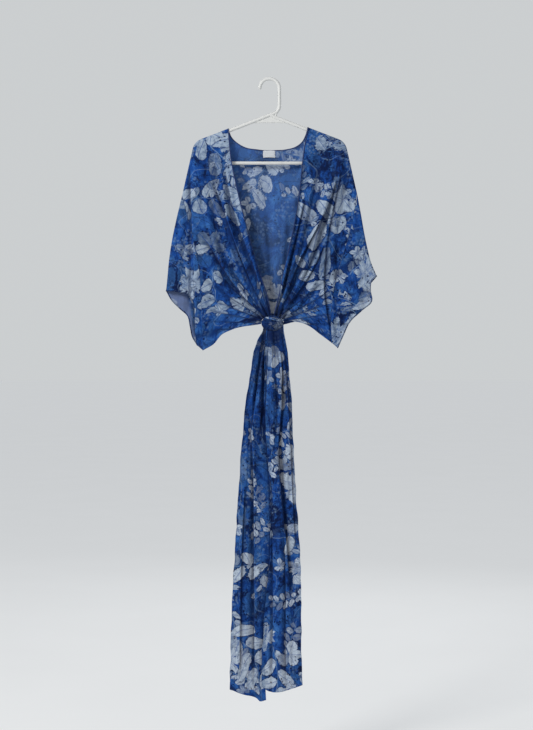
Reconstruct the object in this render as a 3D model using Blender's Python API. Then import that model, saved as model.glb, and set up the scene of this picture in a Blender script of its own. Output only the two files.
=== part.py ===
"""Short kimono jacket with butterfly sleeves, tied in front, hung on a tubular clothes hanger.

Frame: +X to the picture's right, +Y towards the wall behind, +Z up. The origin is the inner
top of the hanger's hook, where a peg or rail carries it. Tables are in millimetres, as (x, z)
on the plane of the hanger; how far the cloth stands off that plane is worked out below.
"right" and "left" are the wearer's, so the right half of the jacket lies at -X.
"""

import math

import bmesh
import bpy
import numpy as np
from mathutils import Vector
from mathutils.bvhtree import BVHTree

MM = 0.001

# Cloth
CLOTH = 1.2
SEAM_GAP = 0.7
CREST_GAP = 0.3

# Hanger: one bent plastic tube, with a web under the apex
TUBE_RADIUS = 4.5
TUBE_SIDES = 12
HANGER_X = 2.0
HANGER_REACH = 199.5
APEX_Z = -92.5
ARM_SLOPE = math.radians(21.1)
BEND_RADIUS = 30.0
HOOK_RADIUS = 26.0
STEM_X = 27.5
STEM_BEND_RADIUS = 22.0
WEB_THICKNESS = 3.0
WEB_Z = -113.5

# How the cloth lies over the hanger, and how deep the hollow garment hangs
CREST_RADIUS = TUBE_RADIUS + 2.0
SLEEVE_LEAN = math.radians(13.3)
FRONT_BELLY = 10.0
BACK_BELLY = 9.0
BELLY_RUN = 130.0

SHOULDER_CORNER = 196.0

# Knot, an egg-shaped bundle whose skin the fronts and the ties run up to
KNOT = Vector((9.0, -25.0, -647.0))
KNOT_SIZE = Vector((29.0, 14.0, 20.0))
KNOT_CLEAR = CLOTH / 2 + 0.4
KNOT_PULL = 110.0
KNOT_RINGS = 12
KNOT_SIDES = 44
KNOT_GATHERS = 11
KNOT_GROOVE = 0.16

# Neck edge and label
BINDING_RADIUS = 1.1
BINDING_OUT = BINDING_RADIUS + 0.4
LABEL_HALF_WIDTH = 16.0
LABEL_TOP = -186.0
LABEL_BOTTOM = -204.0
LABEL_THICKNESS = 0.8

# Outlines of each half, as (x, z): every list runs the way its name says
HALVES = {
    "right": {
        "sign": -1,
        "neck_x": -109.0,
        "sleeve_top": [(-231, -305), (-247, -372), (-258, -425), (-266, -478), (-271, -531), (-274, -560)],
        "armhole_front": [(-231, -305), (-219, -350), (-206, -400), (-194, -448), (-185, -500),
                          (-180, -570), (-177, -640), (-175, -690), (-176, -718)],
        "armhole_back": [(-231, -305), (-220, -400), (-206, -520), (-190, -630), (-176, -718)],
        "cuff_front": [(-274, -560), (-242, -563), (-214, -571), (-200, -592), (-197, -638),
                       (-196, -672), (-192, -704)],
        "cuff_back": [(-274, -560), (-259, -586), (-237, -608), (-218, -626), (-211, -654),
                      (-205, -682), (-192, -704)],
        "front_edge": [(5, -627), (-3, -584), (-32, -491), (-61, -385), (-85, -292), (-101, -212)],
        "front_hem": [(-29, -648), (-98, -663), (-125, -676), (-148, -702), (-176, -718)],
        "back_hem": [(9, -633), (-77, -641), (-122, -668), (-147, -697), (-176, -718)],
        "knot_angles": (97.0, 184.0),
    },
    "left": {
        "sign": 1,
        "neck_x": 104.0,
        "sleeve_top": [(234, -300), (245, -358), (253, -404), (261, -443), (271, -483), (287, -521)],
        "armhole_front": [(234, -300), (227, -345), (215, -400), (199, -455), (182, -510),
                          (170, -565), (164, -620), (164, -660), (168, -699)],
        "armhole_back": [(234, -300), (224, -400), (209, -520), (189, -620), (168, -699)],
        "cuff_front": [(287, -521), (273, -534), (270, -558), (273, -587), (245, -614),
                       (215, -643), (198, -678), (183, -712)],
        "cuff_back": [(287, -521), (268, -545), (257, -575), (236, -608), (205, -645),
                      (190, -682), (183, -712)],
        "front_edge": [(13, -627), (24, -584), (37, -518), (56, -438), (72, -358), (82, -292), (90, -212)],
        "front_hem": [(48, -643), (74, -643), (101, -651), (138, -677), (168, -699)],
        "back_hem": [(9, -633), (82, -635), (128, -657), (168, -699)],
        "knot_angles": (83.0, -8.0),
    },
}
BACK_NECK = [(-101, -150), (-82, -168), (-59, -179), (-29, -183.5), (0, -184.5), (43, -183),
             (69, -177), (88, -164), (98, -146)]

# Folds. A row is a ridge: its spine runs start, middle, end; its two flanks reach "near" (towards
# the jacket's middle line) and "far" from the spine, first at the start and then at the end.
FOLD_COLUMNS = ("start", "middle", "end", "near", "far", "height", "fade")
FRONT_FOLDS = [
    ((2, -625), (-55, -430), (-104, -160), (5, 12), (6, 15), 8.0, 0.25),
    ((-8, -632), (-92, -440), (-140, -190), (6, 16), (5, 13), 12.0, 0.3),
    ((-14, -638), (-128, -480), (-186, -215), (6, 24), (5, 15), 11.0, 0.35),
    ((-18, -643), (-110, -560), (-190, -430), (5, 34), (5, 22), 9.0, 0.5),
    ((-21, -648), (-95, -640), (-165, -640), (4, 16), (4, 26), 5.0, 0.4),
    ((-203, -200), (-203, -400), (-200, -700), (40, 66), (10, 8), 9.0, 0.0),
    ((15, -625), (44, -500), (92, -170), (5, 12), (6, 15), 8.0, 0.25),
    ((24, -632), (78, -440), (128, -200), (6, 16), (5, 13), 12.0, 0.3),
    ((32, -638), (104, -480), (178, -215), (6, 26), (5, 14), 13.0, 0.3),
    ((37, -643), (100, -570), (166, -420), (5, 30), (5, 20), 9.0, 0.5),
    ((40, -646), (92, -630), (150, -640), (4, 14), (4, 24), 5.0, 0.4),
    ((203, -195), (172, -400), (168, -700), (34, 50), (14, 14), 8.0, 0.0),
    ((226, -290), (232, -450), (240, -600), (12, 22), (12, 20), 5.0, 0.3),
    ((-226, -320), (-238, -450), (-246, -575), (12, 16), (12, 16), 4.5, 0.3),
]
BACK_FOLDS = [
    ((-30, -640), (-50, -480), (-62, -230), (12, 18), (14, 22), 7.0, 0.5),
    ((5, -640), (4, -480), (-8, -240), (12, 15), (12, 18), 7.5, 0.5),
    ((38, -640), (50, -480), (58, -230), (14, 22), (12, 18), 7.0, 0.5),
    ((-110, -650), (-140, -470), (-178, -215), (18, 26), (14, 20), 8.0, 0.4),
    ((112, -650), (140, -470), (176, -215), (18, 26), (14, 20), 8.0, 0.4),
    ((-200, -210), (-204, -400), (-190, -690), (30, 40), (14, 14), 6.0, 0.0),
    ((202, -205), (206, -400), (190, -680), (30, 40), (14, 14), 6.0, 0.0),
]

# Ties. Each row is one height: where the right tie's outer edge, the line at which the left tie
# lies over it, and the left tie's outer edge stand.
TIE_ROWS = [
    # z, right_outer, overlap, left_outer
    (-664, -15, -6, 38),
    (-690, -30, -8, 43),
    (-722, -41, -11, 49),
    (-771, -48, -11, 53),
    (-850, -61, -11, 59),
    (-983, -74, -5, 65),
    (-1116, -82, 5, 72),
    (-1249, -90, 4, 82),
    (-1382, -98, -9, 85),
    (-1515, -101, -19, 85),
    (-1600, -104, -19, 88),
]
TIE_TUCK = 9.0
TIE_STEP = {"right": 5.0, "left": -3.0}
RIGHT_TIE_Y = -12.0
LEFT_TIE_Y = -22.0
TIE_FOLDS = {
    "right": [
        ((-18, -668), (-36, -780), (-62, -950), (5, 12), (6, 14), 8.0, 0.3),
        ((-6, -668), (-21, -780), (-32, -950), (4, 8), (4, 8), 5.0, 0.5),
        ((-36, -860), (-62, -1150), (-62, -1640), (22, 28), (16, 40), 7.0, 0.0),
    ],
    "left": [
        ((6, -668), (8, -780), (10, -1020), (10, 14), (9, 10), 11.0, 0.3),
        ((28, -668), (44, -800), (50, -1150), (9, 16), (10, 13), 10.0, 0.4),
        ((14, -1000), (26, -1240), (26, -1620), (15, 27), (15, 25), 8.0, 0.0),
        ((60, -1120), (70, -1330), (72, -1610), (12, 15), (10, 13), 5.0, 0.3),
    ],
}
TIE_HEMS = {
    "right": [(-104, -1617), (-70, -1628), (-33, -1640), (-24, -1648), (-8, -1645)],
    "left": [(-19, -1606), (-5, -1617), (37, -1618), (88, -1603)],
}

# Mesh density
FRONT_SHARES = [0, 0.05, 0.11, 0.18, 0.26, 0.35, 0.45, 0.56, 0.67, 0.78, 0.87, 0.935, 0.97, 0.988, 0.9946, 0.9983, 1]
FRONT_SHOULDER_SHARES = [0, 0.045, 0.1, 0.16, 0.225, 0.29, 0.355, 0.43, 0.5, 0.57, 0.64, 0.71, 0.79, 0.87, 0.94,
                         0.98, 0.995, 1]
ARMHOLE_SHARES = [0.003, 0.01, 0.025, 0.055, 0.1, 0.15, 0.2, 0.25, 0.305, 0.36, 0.42, 0.48, 0.54, 0.6, 0.66, 0.72,
                  0.78, 0.84, 0.9, 0.955, 0.985, 1]
FAN_BY_LENGTH = 0.6
BEND_WEIGHT = 130.0
SLEEVE_STATIONS = 8
BACK_SIDE_SHARES = [0, 0.007, 0.022, 0.048, 0.12, 0.3, 0.55, 0.8, 0.95, 1]
BACK_ARMHOLE_SHARES = [0.015, 0.05, 0.12, 0.22, 0.34, 0.46, 0.58, 0.7, 0.82, 0.92, 1]
BACK_SHOULDER_SHARES = [0, 0.02, 0.07, 0.17, 0.3, 0.45, 0.62, 0.8, 0.93, 1]
BACK_NECK_SHARES = [0.006, 0.02, 0.045, 0.09, 0.16, 0.25, 0.35, 0.45, 0.55, 0.65, 0.75, 0.84, 0.91, 0.955, 0.98, 0.994]
TIE_COLUMNS = 12


def spline(points, count=None, shares=None):
    """Points along a smooth curve through the given ones, even in length or at the given shares."""
    given = np.array(points, float)
    steps = np.linalg.norm(np.diff(given, axis=0), axis=1)
    knots = np.concatenate([[0], np.cumsum(steps)])
    slopes = np.gradient(given, knots, axis=0)
    fine = np.linspace(0, knots[-1], 40 * (len(given) - 1) + 1)
    span = np.clip(np.searchsorted(knots, fine, side="right") - 1, 0, len(given) - 2)
    h = (knots[span + 1] - knots[span])[:, None]
    t = (fine[:, None] - knots[span][:, None]) / h
    curve = ((2 * t**3 - 3 * t**2 + 1) * given[span] + (t**3 - 2 * t**2 + t) * h * slopes[span]
             + (3 * t**2 - 2 * t**3) * given[span + 1] + (t**3 - t**2) * h * slopes[span + 1])
    return resample(curve, np.linspace(0, 1, count) if shares is None else shares)


def resample(curve, shares, bend_weight=0.0):
    """Points of a fine polyline at the given shares of its length; bends can count as extra length."""
    steps = np.linalg.norm(np.diff(curve, axis=0), axis=1)
    if bend_weight:
        heading = np.unwrap(np.arctan2(np.diff(curve[:, 1]), np.diff(curve[:, 0])))
        steps = steps + bend_weight * np.abs(np.gradient(heading))
    along = np.concatenate([[0], np.cumsum(steps)])
    at = np.asarray(shares) * along[-1]
    return np.stack([np.interp(at, along, curve[:, k]) for k in range(curve.shape[1])], axis=1)


def shares_along(line):
    """The share of a polyline's length at each of its points."""
    along = np.concatenate([[0], np.cumsum(np.linalg.norm(np.diff(line, axis=0), axis=1))])
    return along / along[-1]


def smooth(t):
    t = np.clip(t, 0, 1)
    return t * t * (3 - 2 * t)


def nearest(points, line):
    """Distance to a polyline, signed by its side, and the share of its length at the nearest spot."""
    a, b = line[:-1], line[1:]
    run = b - a
    length2 = (run**2).sum(1)
    rel = points[:, None, :] - a[None]
    t = np.clip((rel * run[None]).sum(2) / length2, 0, 1)
    gap = rel - t[..., None] * run[None]
    distance = np.linalg.norm(gap, axis=2)
    k = distance.argmin(1)
    rows = np.arange(len(points))
    cross = run[k, 0] * gap[rows, k, 1] - run[k, 1] * gap[rows, k, 0]
    along = np.concatenate([[0], np.cumsum(np.sqrt(length2))])
    share = (along[k] + t[rows, k] * np.sqrt(length2[k])) / along[-1]
    return distance[rows, k], np.where(cross < 0, -1, 1), share


def relief(points, folds):
    """How far the folds lift the cloth at each (x, z)."""
    total = np.zeros(len(points))
    for row in folds:
        fold = dict(zip(FOLD_COLUMNS, row))
        line = spline([fold["start"], fold["middle"], fold["end"]], count=18)
        distance, side, share = nearest(points, line)
        middle_side = np.sign(KNOT.x - line[9, 0]) or 1.0
        downwards = np.sign(line[0, 1] - line[-1, 1])
        near = side * downwards * middle_side > 0
        reach = np.where(near, fold["near"][0] + (fold["near"][1] - fold["near"][0]) * share,
                         fold["far"][0] + (fold["far"][1] - fold["far"][0]) * share)
        bump = 0.5 + 0.5 * np.cos(np.pi * np.clip(distance / reach, 0, 1))
        fade = 1.0 if fold["fade"] == 0 else smooth((1 - share) / fold["fade"])
        total = total + fold["height"] * bump * fade
    return total


def shoulder_line(half):
    """The crest of the cloth from the neck over the hanger's arm and tip to the sleeve seam."""
    sign = half["sign"]
    bend = bend_centre()
    straight_end = bend + CREST_RADIUS_OUT * np.array([math.sin(ARM_SLOPE), math.cos(ARM_SLOPE)])
    neck_out = abs(half["neck_x"] - HANGER_X)
    neck = straight_end + (straight_end[0] - neck_out) * np.array([-1, math.tan(ARM_SLOPE)])
    angles = np.linspace(math.pi / 2 - ARM_SLOPE, SLEEVE_LEAN, 10)
    tip = bend + CREST_RADIUS_OUT * np.stack([np.cos(angles), np.sin(angles)], axis=1)
    points = [neck, neck + (straight_end - neck) * 0.5, *tip]
    line = np.array([(HANGER_X + sign * x, z) for x, z in points])
    return np.vstack([line, np.array(half["sleeve_top"][:1], float)])


def bend_centre():
    """Centre of the bend at the hanger's tip, for the +X half, from the hanger's own middle."""
    return np.array([HANGER_REACH - BEND_RADIUS,
                     APEX_Z - math.tan(ARM_SLOPE) * arm_end() - BEND_RADIUS * math.cos(ARM_SLOPE)])


def arm_end():
    return HANGER_REACH - BEND_RADIUS * (1 - math.sin(ARM_SLOPE))


CREST_RADIUS_OUT = BEND_RADIUS + CREST_RADIUS


def closed_outlines():
    """The lines where front and back layers meet: shoulders, sleeve tops and underarms."""
    lines = []
    for half in HALVES.values():
        top = np.vstack([shoulder_line(half), spline(half["sleeve_top"], count=24)[1:]])
        lines.append(top)
        lines.append(np.array([half["armhole_front"][-1], half["cuff_front"][-1]], float))
    return lines


def depth(points, belly, folds):
    """How far one layer of the garment stands off the hanger's plane at each (x, z)."""
    away = np.min([nearest(points, line)[0] for line in OUTLINES], axis=0)
    turn = 1 - np.clip(away / CREST_RADIUS, 0, 1)
    rounded = CREST_RADIUS * np.sqrt(np.clip(1 - turn**2, 0, 1))
    lifted = belly * smooth((away - CREST_RADIUS) / BELLY_RUN) + relief(points, folds) * smooth((away - 3) / 30)
    return rounded + lifted


def front_y(points):
    from_knot = np.hypot(points[:, 0] - KNOT.x, points[:, 1] - KNOT.z)
    pull = smooth(1 - (from_knot - KNOT_SIZE.x) / KNOT_PULL)
    lying = depth(points, FRONT_BELLY, FRONT_FOLDS)
    gathered = -KNOT.y - 3 + 0.45 * relief(points, FRONT_FOLDS)
    return -np.maximum(lying * (1 - pull) + gathered * pull, CREST_GAP)


def back_y(points):
    return np.maximum(depth(points, BACK_BELLY, BACK_FOLDS), CREST_GAP)


OUTLINES = closed_outlines()


def patch(low, high, start, end, across, along):
    """Coons patch over the shares across (low to high) and along (start to end): [along][across]."""
    u = np.asarray(across)[None, :, None]
    v = np.asarray(along)[:, None, None]
    low, high = low[:, None, :], high[:, None, :]
    start, end = start[None, :, :], end[None, :, :]
    corners = ((1 - u) * (1 - v) * start[:, :1] + u * (1 - v) * start[:, -1:]
               + (1 - u) * v * end[:, :1] + u * v * end[:, -1:])
    return (1 - u) * low + u * high + (1 - v) * start + v * end - corners


DEPTHWARDS = np.array([0.0, 1.0, 0.0])


def lifted(flat, height):
    """Rows of (x, z) points with y from a height function, as (x, y, z)."""
    rows, columns, _ = flat.shape
    spots = flat.reshape(-1, 2)
    return np.stack([spots[:, 0], height(spots), spots[:, 1]], axis=1).reshape(rows, columns, 3)


def unit(v):
    return v / np.maximum(np.linalg.norm(v, axis=-1, keepdims=True), 1e-9)


def normals(grid, ring):
    """Unit normals of a grid of points; a ring closes on itself across its columns."""
    if ring:
        across = np.roll(grid, -1, axis=1) - np.roll(grid, 1, axis=1)
    else:
        across = np.gradient(grid, axis=1)
    return unit(np.cross(across, np.gradient(grid, axis=0)))


def add_object(name, points, faces, material):
    mesh = bpy.data.meshes.new(name)
    mesh.from_pydata([tuple(p * MM for p in point) for point in points], [], faces)
    form = bmesh.new()
    form.from_mesh(mesh)
    bmesh.ops.recalc_face_normals(form, faces=form.faces)
    if form.calc_volume(signed=True) < 0:
        bmesh.ops.reverse_faces(form, faces=form.faces)
    form.to_mesh(mesh)
    form.free()
    mesh.shade_smooth()
    mesh.set_sharp_from_angle(angle=math.radians(40))
    mesh.materials.append(material)
    made = bpy.data.objects.new(name, mesh)
    bpy.context.scene.collection.objects.link(made)
    return made


def cloth_wall(name, grid, material, thickness=CLOTH, ring=False, seams=()):
    """A wall of cloth about a grid of points. seams gives (spots, directions): there the wall's ends
    stand square to the direction, so that the gap to the next piece keeps its width."""
    out = normals(grid, ring)
    for spots, directions in seams:
        there = out[spots]
        there = unit(there - (there * directions).sum(-1, keepdims=True) * directions)
        out[spots] = there
    rows, columns, _ = grid.shape
    skins = [grid + out * thickness / 2, grid - out * thickness / 2]
    points = np.vstack([s.reshape(-1, 3) for s in skins])
    count = rows * columns

    def at(skin, i, j):
        return skin * count + i * columns + j % columns

    faces = []
    for i in range(rows - 1):
        for j in range(columns if ring else columns - 1):
            faces.append((at(0, i, j), at(0, i, j + 1), at(0, i + 1, j + 1), at(0, i + 1, j)))
            faces.append((at(1, i, j), at(1, i + 1, j), at(1, i + 1, j + 1), at(1, i, j + 1)))
    for i in (0, rows - 1):
        for j in range(columns if ring else columns - 1):
            faces.append((at(0, i, j), at(0, i, j + 1), at(1, i, j + 1), at(1, i, j)))
    if not ring:
        for j in (0, columns - 1):
            for i in range(rows - 1):
                faces.append((at(0, i, j), at(0, i + 1, j), at(1, i + 1, j), at(1, i, j)))
    return add_object(name, points, faces, material)


def tube(name, path, radius, material, sides=TUBE_SIDES):
    """A capped round tube along a path in the plane of the hanger, given as (x, z)."""
    path = np.array([(x, 0.0, z) for x, z in path])
    along = unit(np.gradient(path, axis=0))
    side = np.array([0.0, 1.0, 0.0])
    up = np.cross(along, side)
    points = []
    for spot, lift in zip(path, up):
        for k in range(sides):
            a = 2 * math.pi * k / sides
            points.append(spot + radius * (math.cos(a) * lift + math.sin(a) * side))
    faces = [tuple(range(sides)), tuple(range(len(points) - sides, len(points)))]
    for i in range(len(path) - 1):
        for k in range(sides):
            a, b = i * sides + k, i * sides + (k + 1) % sides
            faces.append((a, b, b + sides, a + sides))
    return add_object(name, points, faces, material)


def arc(centre, radius, start, end, count):
    """Points on an arc, angles in degrees from +X towards +Z."""
    return [(centre[0] + radius * math.cos(math.radians(a)), centre[1] + radius * math.sin(math.radians(a)))
            for a in np.linspace(start, end, count)]


def principled(name, colour, roughness, metallic=0.0):
    material = bpy.data.materials.new(name)
    material.use_nodes = True
    shader = material.node_tree.nodes["Principled BSDF"]
    shader.inputs["Base Color"].default_value = (*colour, 1.0)
    shader.inputs["Roughness"].default_value = roughness
    shader.inputs["Metallic"].default_value = metallic
    material.diffuse_color = (*colour, 1.0)
    return material


def joined(base, other):
    """Fuses another object into base and leaves the other as a hidden guide."""
    fuse = base.modifiers.new("fuse_" + other.name, "BOOLEAN")
    fuse.operation = "UNION"
    fuse.object = other
    other.hide_render = True
    other.display_type = "WIRE"


def build_hanger(plastic):
    """Hook, stem, left and right arms, tips and lower bar as one tube, with the web fused in."""
    slope = math.degrees(ARM_SLOPE)
    bend = bend_centre()
    hook_centre = (STEM_X - HOOK_RADIUS, TUBE_RADIUS - HOOK_RADIUS)
    stem_foot_x = STEM_X - STEM_BEND_RADIUS + STEM_BEND_RADIUS * math.sin(ARM_SLOPE)
    stem_foot_z = APEX_Z + math.tan(ARM_SLOPE) * (stem_foot_x - HANGER_X)
    stem_centre = (STEM_X - STEM_BEND_RADIUS, stem_foot_z + STEM_BEND_RADIUS * math.cos(ARM_SLOPE))
    path = arc(hook_centre, HOOK_RADIUS, 176, 0, 15)
    path += arc(stem_centre, STEM_BEND_RADIUS, 0, slope - 90, 6)
    path += [(2 * HANGER_X - x, z) for x, z in arc((HANGER_X + bend[0], bend[1]), BEND_RADIUS, 90 - slope, -90, 9)]
    path += arc((HANGER_X + bend[0], bend[1]), BEND_RADIUS, -90, 90 - slope, 9)
    path += [(HANGER_X + 26, APEX_Z - math.tan(ARM_SLOPE) * 26)]
    hanger = tube("hanger", path, TUBE_RADIUS, plastic)
    right_arm_root = tube("arm_root", [(HANGER_X + 34, APEX_Z - math.tan(ARM_SLOPE) * 34), (HANGER_X, APEX_Z)],
                          TUBE_RADIUS * 0.985, plastic, sides=10)
    brace = tube("stem_brace", [(STEM_X, stem_centre[1] + 2), (HANGER_X + 14, APEX_Z - 6)],
                 TUBE_RADIUS * 0.7, plastic, sides=8)
    outline = [(HANGER_X, APEX_Z), (HANGER_X + 47, APEX_Z - 18.1), (HANGER_X + 38, WEB_Z),
               (HANGER_X - 38, WEB_Z), (HANGER_X - 47, APEX_Z - 18.1)]
    points = [(x, y, z) for y in (-WEB_THICKNESS / 2, WEB_THICKNESS / 2) for x, z in outline]
    count = len(outline)
    faces = [tuple(range(count)), tuple(range(2 * count - 1, count - 1, -1))]
    faces += [(k, (k + 1) % count, count + (k + 1) % count, count + k) for k in range(count)]
    web = add_object("web", points, faces, plastic)
    for piece in (right_arm_root, brace, web):
        joined(hanger, piece)
    return hanger


def on_knot(angle):
    """Where a line at this angle, in degrees from +X, meets the clearance about the knot."""
    a = math.radians(angle)
    return (KNOT.x + (KNOT_SIZE.x + KNOT_CLEAR) * math.cos(a), KNOT.z + (KNOT_SIZE.z + KNOT_CLEAR) * math.sin(a))


def build_front(name, half, cotton):
    """A front, as a fan of cloth from the knot to the shoulder line and the armhole seam."""
    fine = resample(shoulder_line(half), np.linspace(0, 1, 200))
    shoulder = resample(fine, FRONT_SHOULDER_SHARES, BEND_WEIGHT)
    armhole = spline(half["armhole_front"], shares=ARMHOLE_SHARES)
    outer = np.vstack([shoulder, armhole])
    shares = FAN_BY_LENGTH * shares_along(outer) + (1 - FAN_BY_LENGTH) * np.linspace(0, 1, len(outer))
    first, last = half["knot_angles"]
    inner = np.array([on_knot(first + (last - first) * share) for share in shares])
    edge = spline([inner[0], *half["front_edge"][1:], outer[0]], shares=FRONT_SHARES)
    hem = spline([inner[-1], *half["front_hem"][1:-1], outer[-1]], shares=FRONT_SHARES)
    flat = patch(edge, hem, inner, outer, shares, FRONT_SHARES)
    grid = lifted(flat, front_y)
    seam = grid[-1, len(shoulder) - 1:]
    crest = (-1, slice(0, len(shoulder)))
    armhole_spots = (-1, slice(len(shoulder) - 1, None))
    cloth_wall(name, grid, cotton, seams=[(crest, DEPTHWARDS), (armhole_spots, across_seam(seam)),
                                          ((-1, -1), DEPTHWARDS)])
    return grid, seam


def across_seam(seam):
    """Unit directions in the plane of the hanger, square to a seam and pointing out to the sleeve."""
    run = unit(np.gradient(seam[:, (0, 2)], axis=0))
    outwards = np.sign(seam[0, 0])
    square = np.stack([run[:, 1], np.zeros(len(run)), -run[:, 0]], axis=1)
    return square * np.sign(square[:, :1] * outwards)


def build_back(cotton):
    """The back, from the neck and shoulders down to the hem, between the armhole seams."""
    sides, tops = [], []
    for half in (HALVES["right"], HALVES["left"]):
        line = resample(shoulder_line(half), np.linspace(0, 1, 80))
        tip = int(np.abs(line[:, 0] - HANGER_X).searchsorted(SHOULDER_CORNER))
        tops.append(resample(line[tip::-1], BACK_SHOULDER_SHARES))
        armhole = spline(half["armhole_back"], shares=BACK_ARMHOLE_SHARES)
        sides.append(np.vstack([resample(line[tip:], BACK_SIDE_SHARES), armhole]))
    down = (shares_along(sides[0]) + shares_along(sides[1])) / 2
    neck = spline([tops[0][-1], *BACK_NECK, tops[1][-1]], shares=BACK_NECK_SHARES)
    top = np.vstack([tops[0], neck, tops[1][::-1]])
    across = shares_along(top)
    right_hem, left_hem = (HALVES[n]["back_hem"] for n in ("right", "left"))
    hem = spline([*right_hem[::-1], *left_hem[1:]], shares=across)
    flat = patch(sides[0], sides[1], top, hem, across, down)
    grid = lifted(flat, back_y)
    corner = len(BACK_SIDE_SHARES) - 1
    shoulders = len(BACK_SHOULDER_SHARES)
    seams = [((0, slice(0, shoulders)), DEPTHWARDS), ((0, slice(-shoulders, None)), DEPTHWARDS)]
    for column in (0, -1):
        seams.append(((slice(0, corner + 1), column), DEPTHWARDS))
        seams.append(((slice(corner, None), column), across_seam(grid[corner:, column])))
        seams.append(((-1, column), DEPTHWARDS))
    cloth_wall("back", grid, cotton, seams=seams)
    return grid, {"right": grid[corner:, 0], "left": grid[corner:, -1]}


def build_sleeve(name, half, front_seam, back_seam, cotton):
    """A butterfly sleeve: a flattened tube from the armhole seam to the open cuff."""
    stations = np.linspace(0, 1, SLEEVE_STATIONS + 1)
    top = spline(half["sleeve_top"], shares=stations)
    layers = []
    seams = []
    for side, height, seam in (("front", front_y, front_seam), ("back", back_y, back_seam)):
        armhole = seam[:, (0, 2)]
        shares = shares_along(armhole)
        cuff = spline(half["cuff_" + side], shares=shares)
        under = armhole[-1] + (cuff[-1] - armhole[-1]) * stations[:, None]
        layer = lifted(patch(top, under, armhole, cuff, shares, stations), height)
        layer[:, (0, -1), 1] = 0
        seams.append(across_seam(seam))
        layer[0] += SEAM_GAP * seams[-1]
        layers.append(layer)
    layers[1][:, (0, -1)] = layers[0][:, (0, -1)]
    ring = np.concatenate([layers[0], layers[1][:, -2:0:-1]], axis=1)
    directions = np.concatenate([seams[0], seams[1][-2:0:-1]])
    cloth_wall(name, ring, cotton, ring=True, seams=[((0, slice(None)), directions)])
    return ring


def build_tie(side, cotton):
    """One tie: a long strip that leaves the knot in pleats and hangs open below."""
    rows = np.array(TIE_ROWS, float)
    z, right_outer, overlap, left_outer = rows.T
    if side == "right":
        starts, ends, rest = right_outer, overlap + TIE_TUCK, RIGHT_TIE_Y
    else:
        starts, ends, rest = overlap, left_outer, LEFT_TIE_Y
    shares = np.linspace(0, 1, TIE_COLUMNS)
    heights = spline(np.stack([np.arange(len(z)), z], axis=1), count=19)[:, 1]
    hem = spline(TIE_HEMS[side], count=TIE_COLUMNS)
    grid = []
    for height in heights:
        x0, x1 = np.interp(-height, -z, starts), np.interp(-height, -z, ends)
        grid.append([(x0 + (x1 - x0) * s, height) for s in shares])
    grid.append(hem)
    flat = np.array(grid)
    near_knot = smooth(1 - (KNOT.z - flat[..., 1] - KNOT_SIZE.z) / 90)
    out = relief(flat.reshape(-1, 2), TIE_FOLDS[side]).reshape(flat.shape[:2])
    y = (rest - out) * (1 - near_knot) + (KNOT.y + TIE_STEP[side] - 0.4 * out) * near_knot
    y[0] = np.clip(y[0], KNOT.y - 7, KNOT.y + 7)
    x = flat[0, :, 0]
    spread = ((x - KNOT.x) / (KNOT_SIZE.x + KNOT_CLEAR)) ** 2 + ((y[0] - KNOT.y) / (KNOT_SIZE.y + KNOT_CLEAR)) ** 2
    skin = KNOT.z - (KNOT_SIZE.z + KNOT_CLEAR) * np.sqrt(np.clip(1 - spread, 0.05, 1))
    flat[0, :, 1] = skin
    grid = np.stack([flat[..., 0], y, flat[..., 1]], axis=2)
    cloth_wall("tie_" + side, grid, cotton)
    return grid


def build_knot(cotton):
    """The knot of the two ties, drawn tight: gathers run into it all round, one strand crosses it."""
    points = []
    for i in range(1, KNOT_RINGS):
        lean = math.pi * i / KNOT_RINGS
        for j in range(KNOT_SIDES):
            turn = 2 * math.pi * j / KNOT_SIDES
            side = Vector((math.sin(lean) * math.cos(turn), -math.cos(lean), math.sin(lean) * math.sin(turn)))
            strand = math.exp(-(((side.z - 0.55 * side.x) / 0.34) ** 2)) * max(math.cos(lean), 0)
            gathers = math.sin(2 * lean) ** 2 * (0.5 - 0.5 * math.cos(KNOT_GATHERS * turn))
            reach = 1 - KNOT_GROOVE * (1 - strand) * (gathers + 0.7 * math.cos(lean) ** 4)
            points.append(KNOT + Vector((side.x * KNOT_SIZE.x, side.y * KNOT_SIZE.y, side.z * KNOT_SIZE.z)) * reach)
    ends = len(points)
    points.append(KNOT - Vector((0, KNOT_SIZE.y, 0)))
    points.append(KNOT + Vector((0, KNOT_SIZE.y * (1 - KNOT_GROOVE), 0)))
    faces = []
    for j in range(KNOT_SIDES):
        k = (j + 1) % KNOT_SIDES
        last = (KNOT_RINGS - 2) * KNOT_SIDES
        faces.append((ends, j, k))
        faces.append((ends + 1, last + k, last + j))
        for i in range(KNOT_RINGS - 2):
            a, b = i * KNOT_SIDES, (i + 1) * KNOT_SIDES
            faces.append((a + j, b + j, b + k, a + k))
    return add_object("knot", points, faces, cotton)


def edge_path(edge, inner):
    """The binding's centre line along a panel's edge, given the edge and the next points inside it."""
    along = unit(np.gradient(edge, axis=0))
    out = edge - inner
    out = unit(out - (out * along).sum(1, keepdims=True) * along)
    return edge + BINDING_OUT * out


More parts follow.
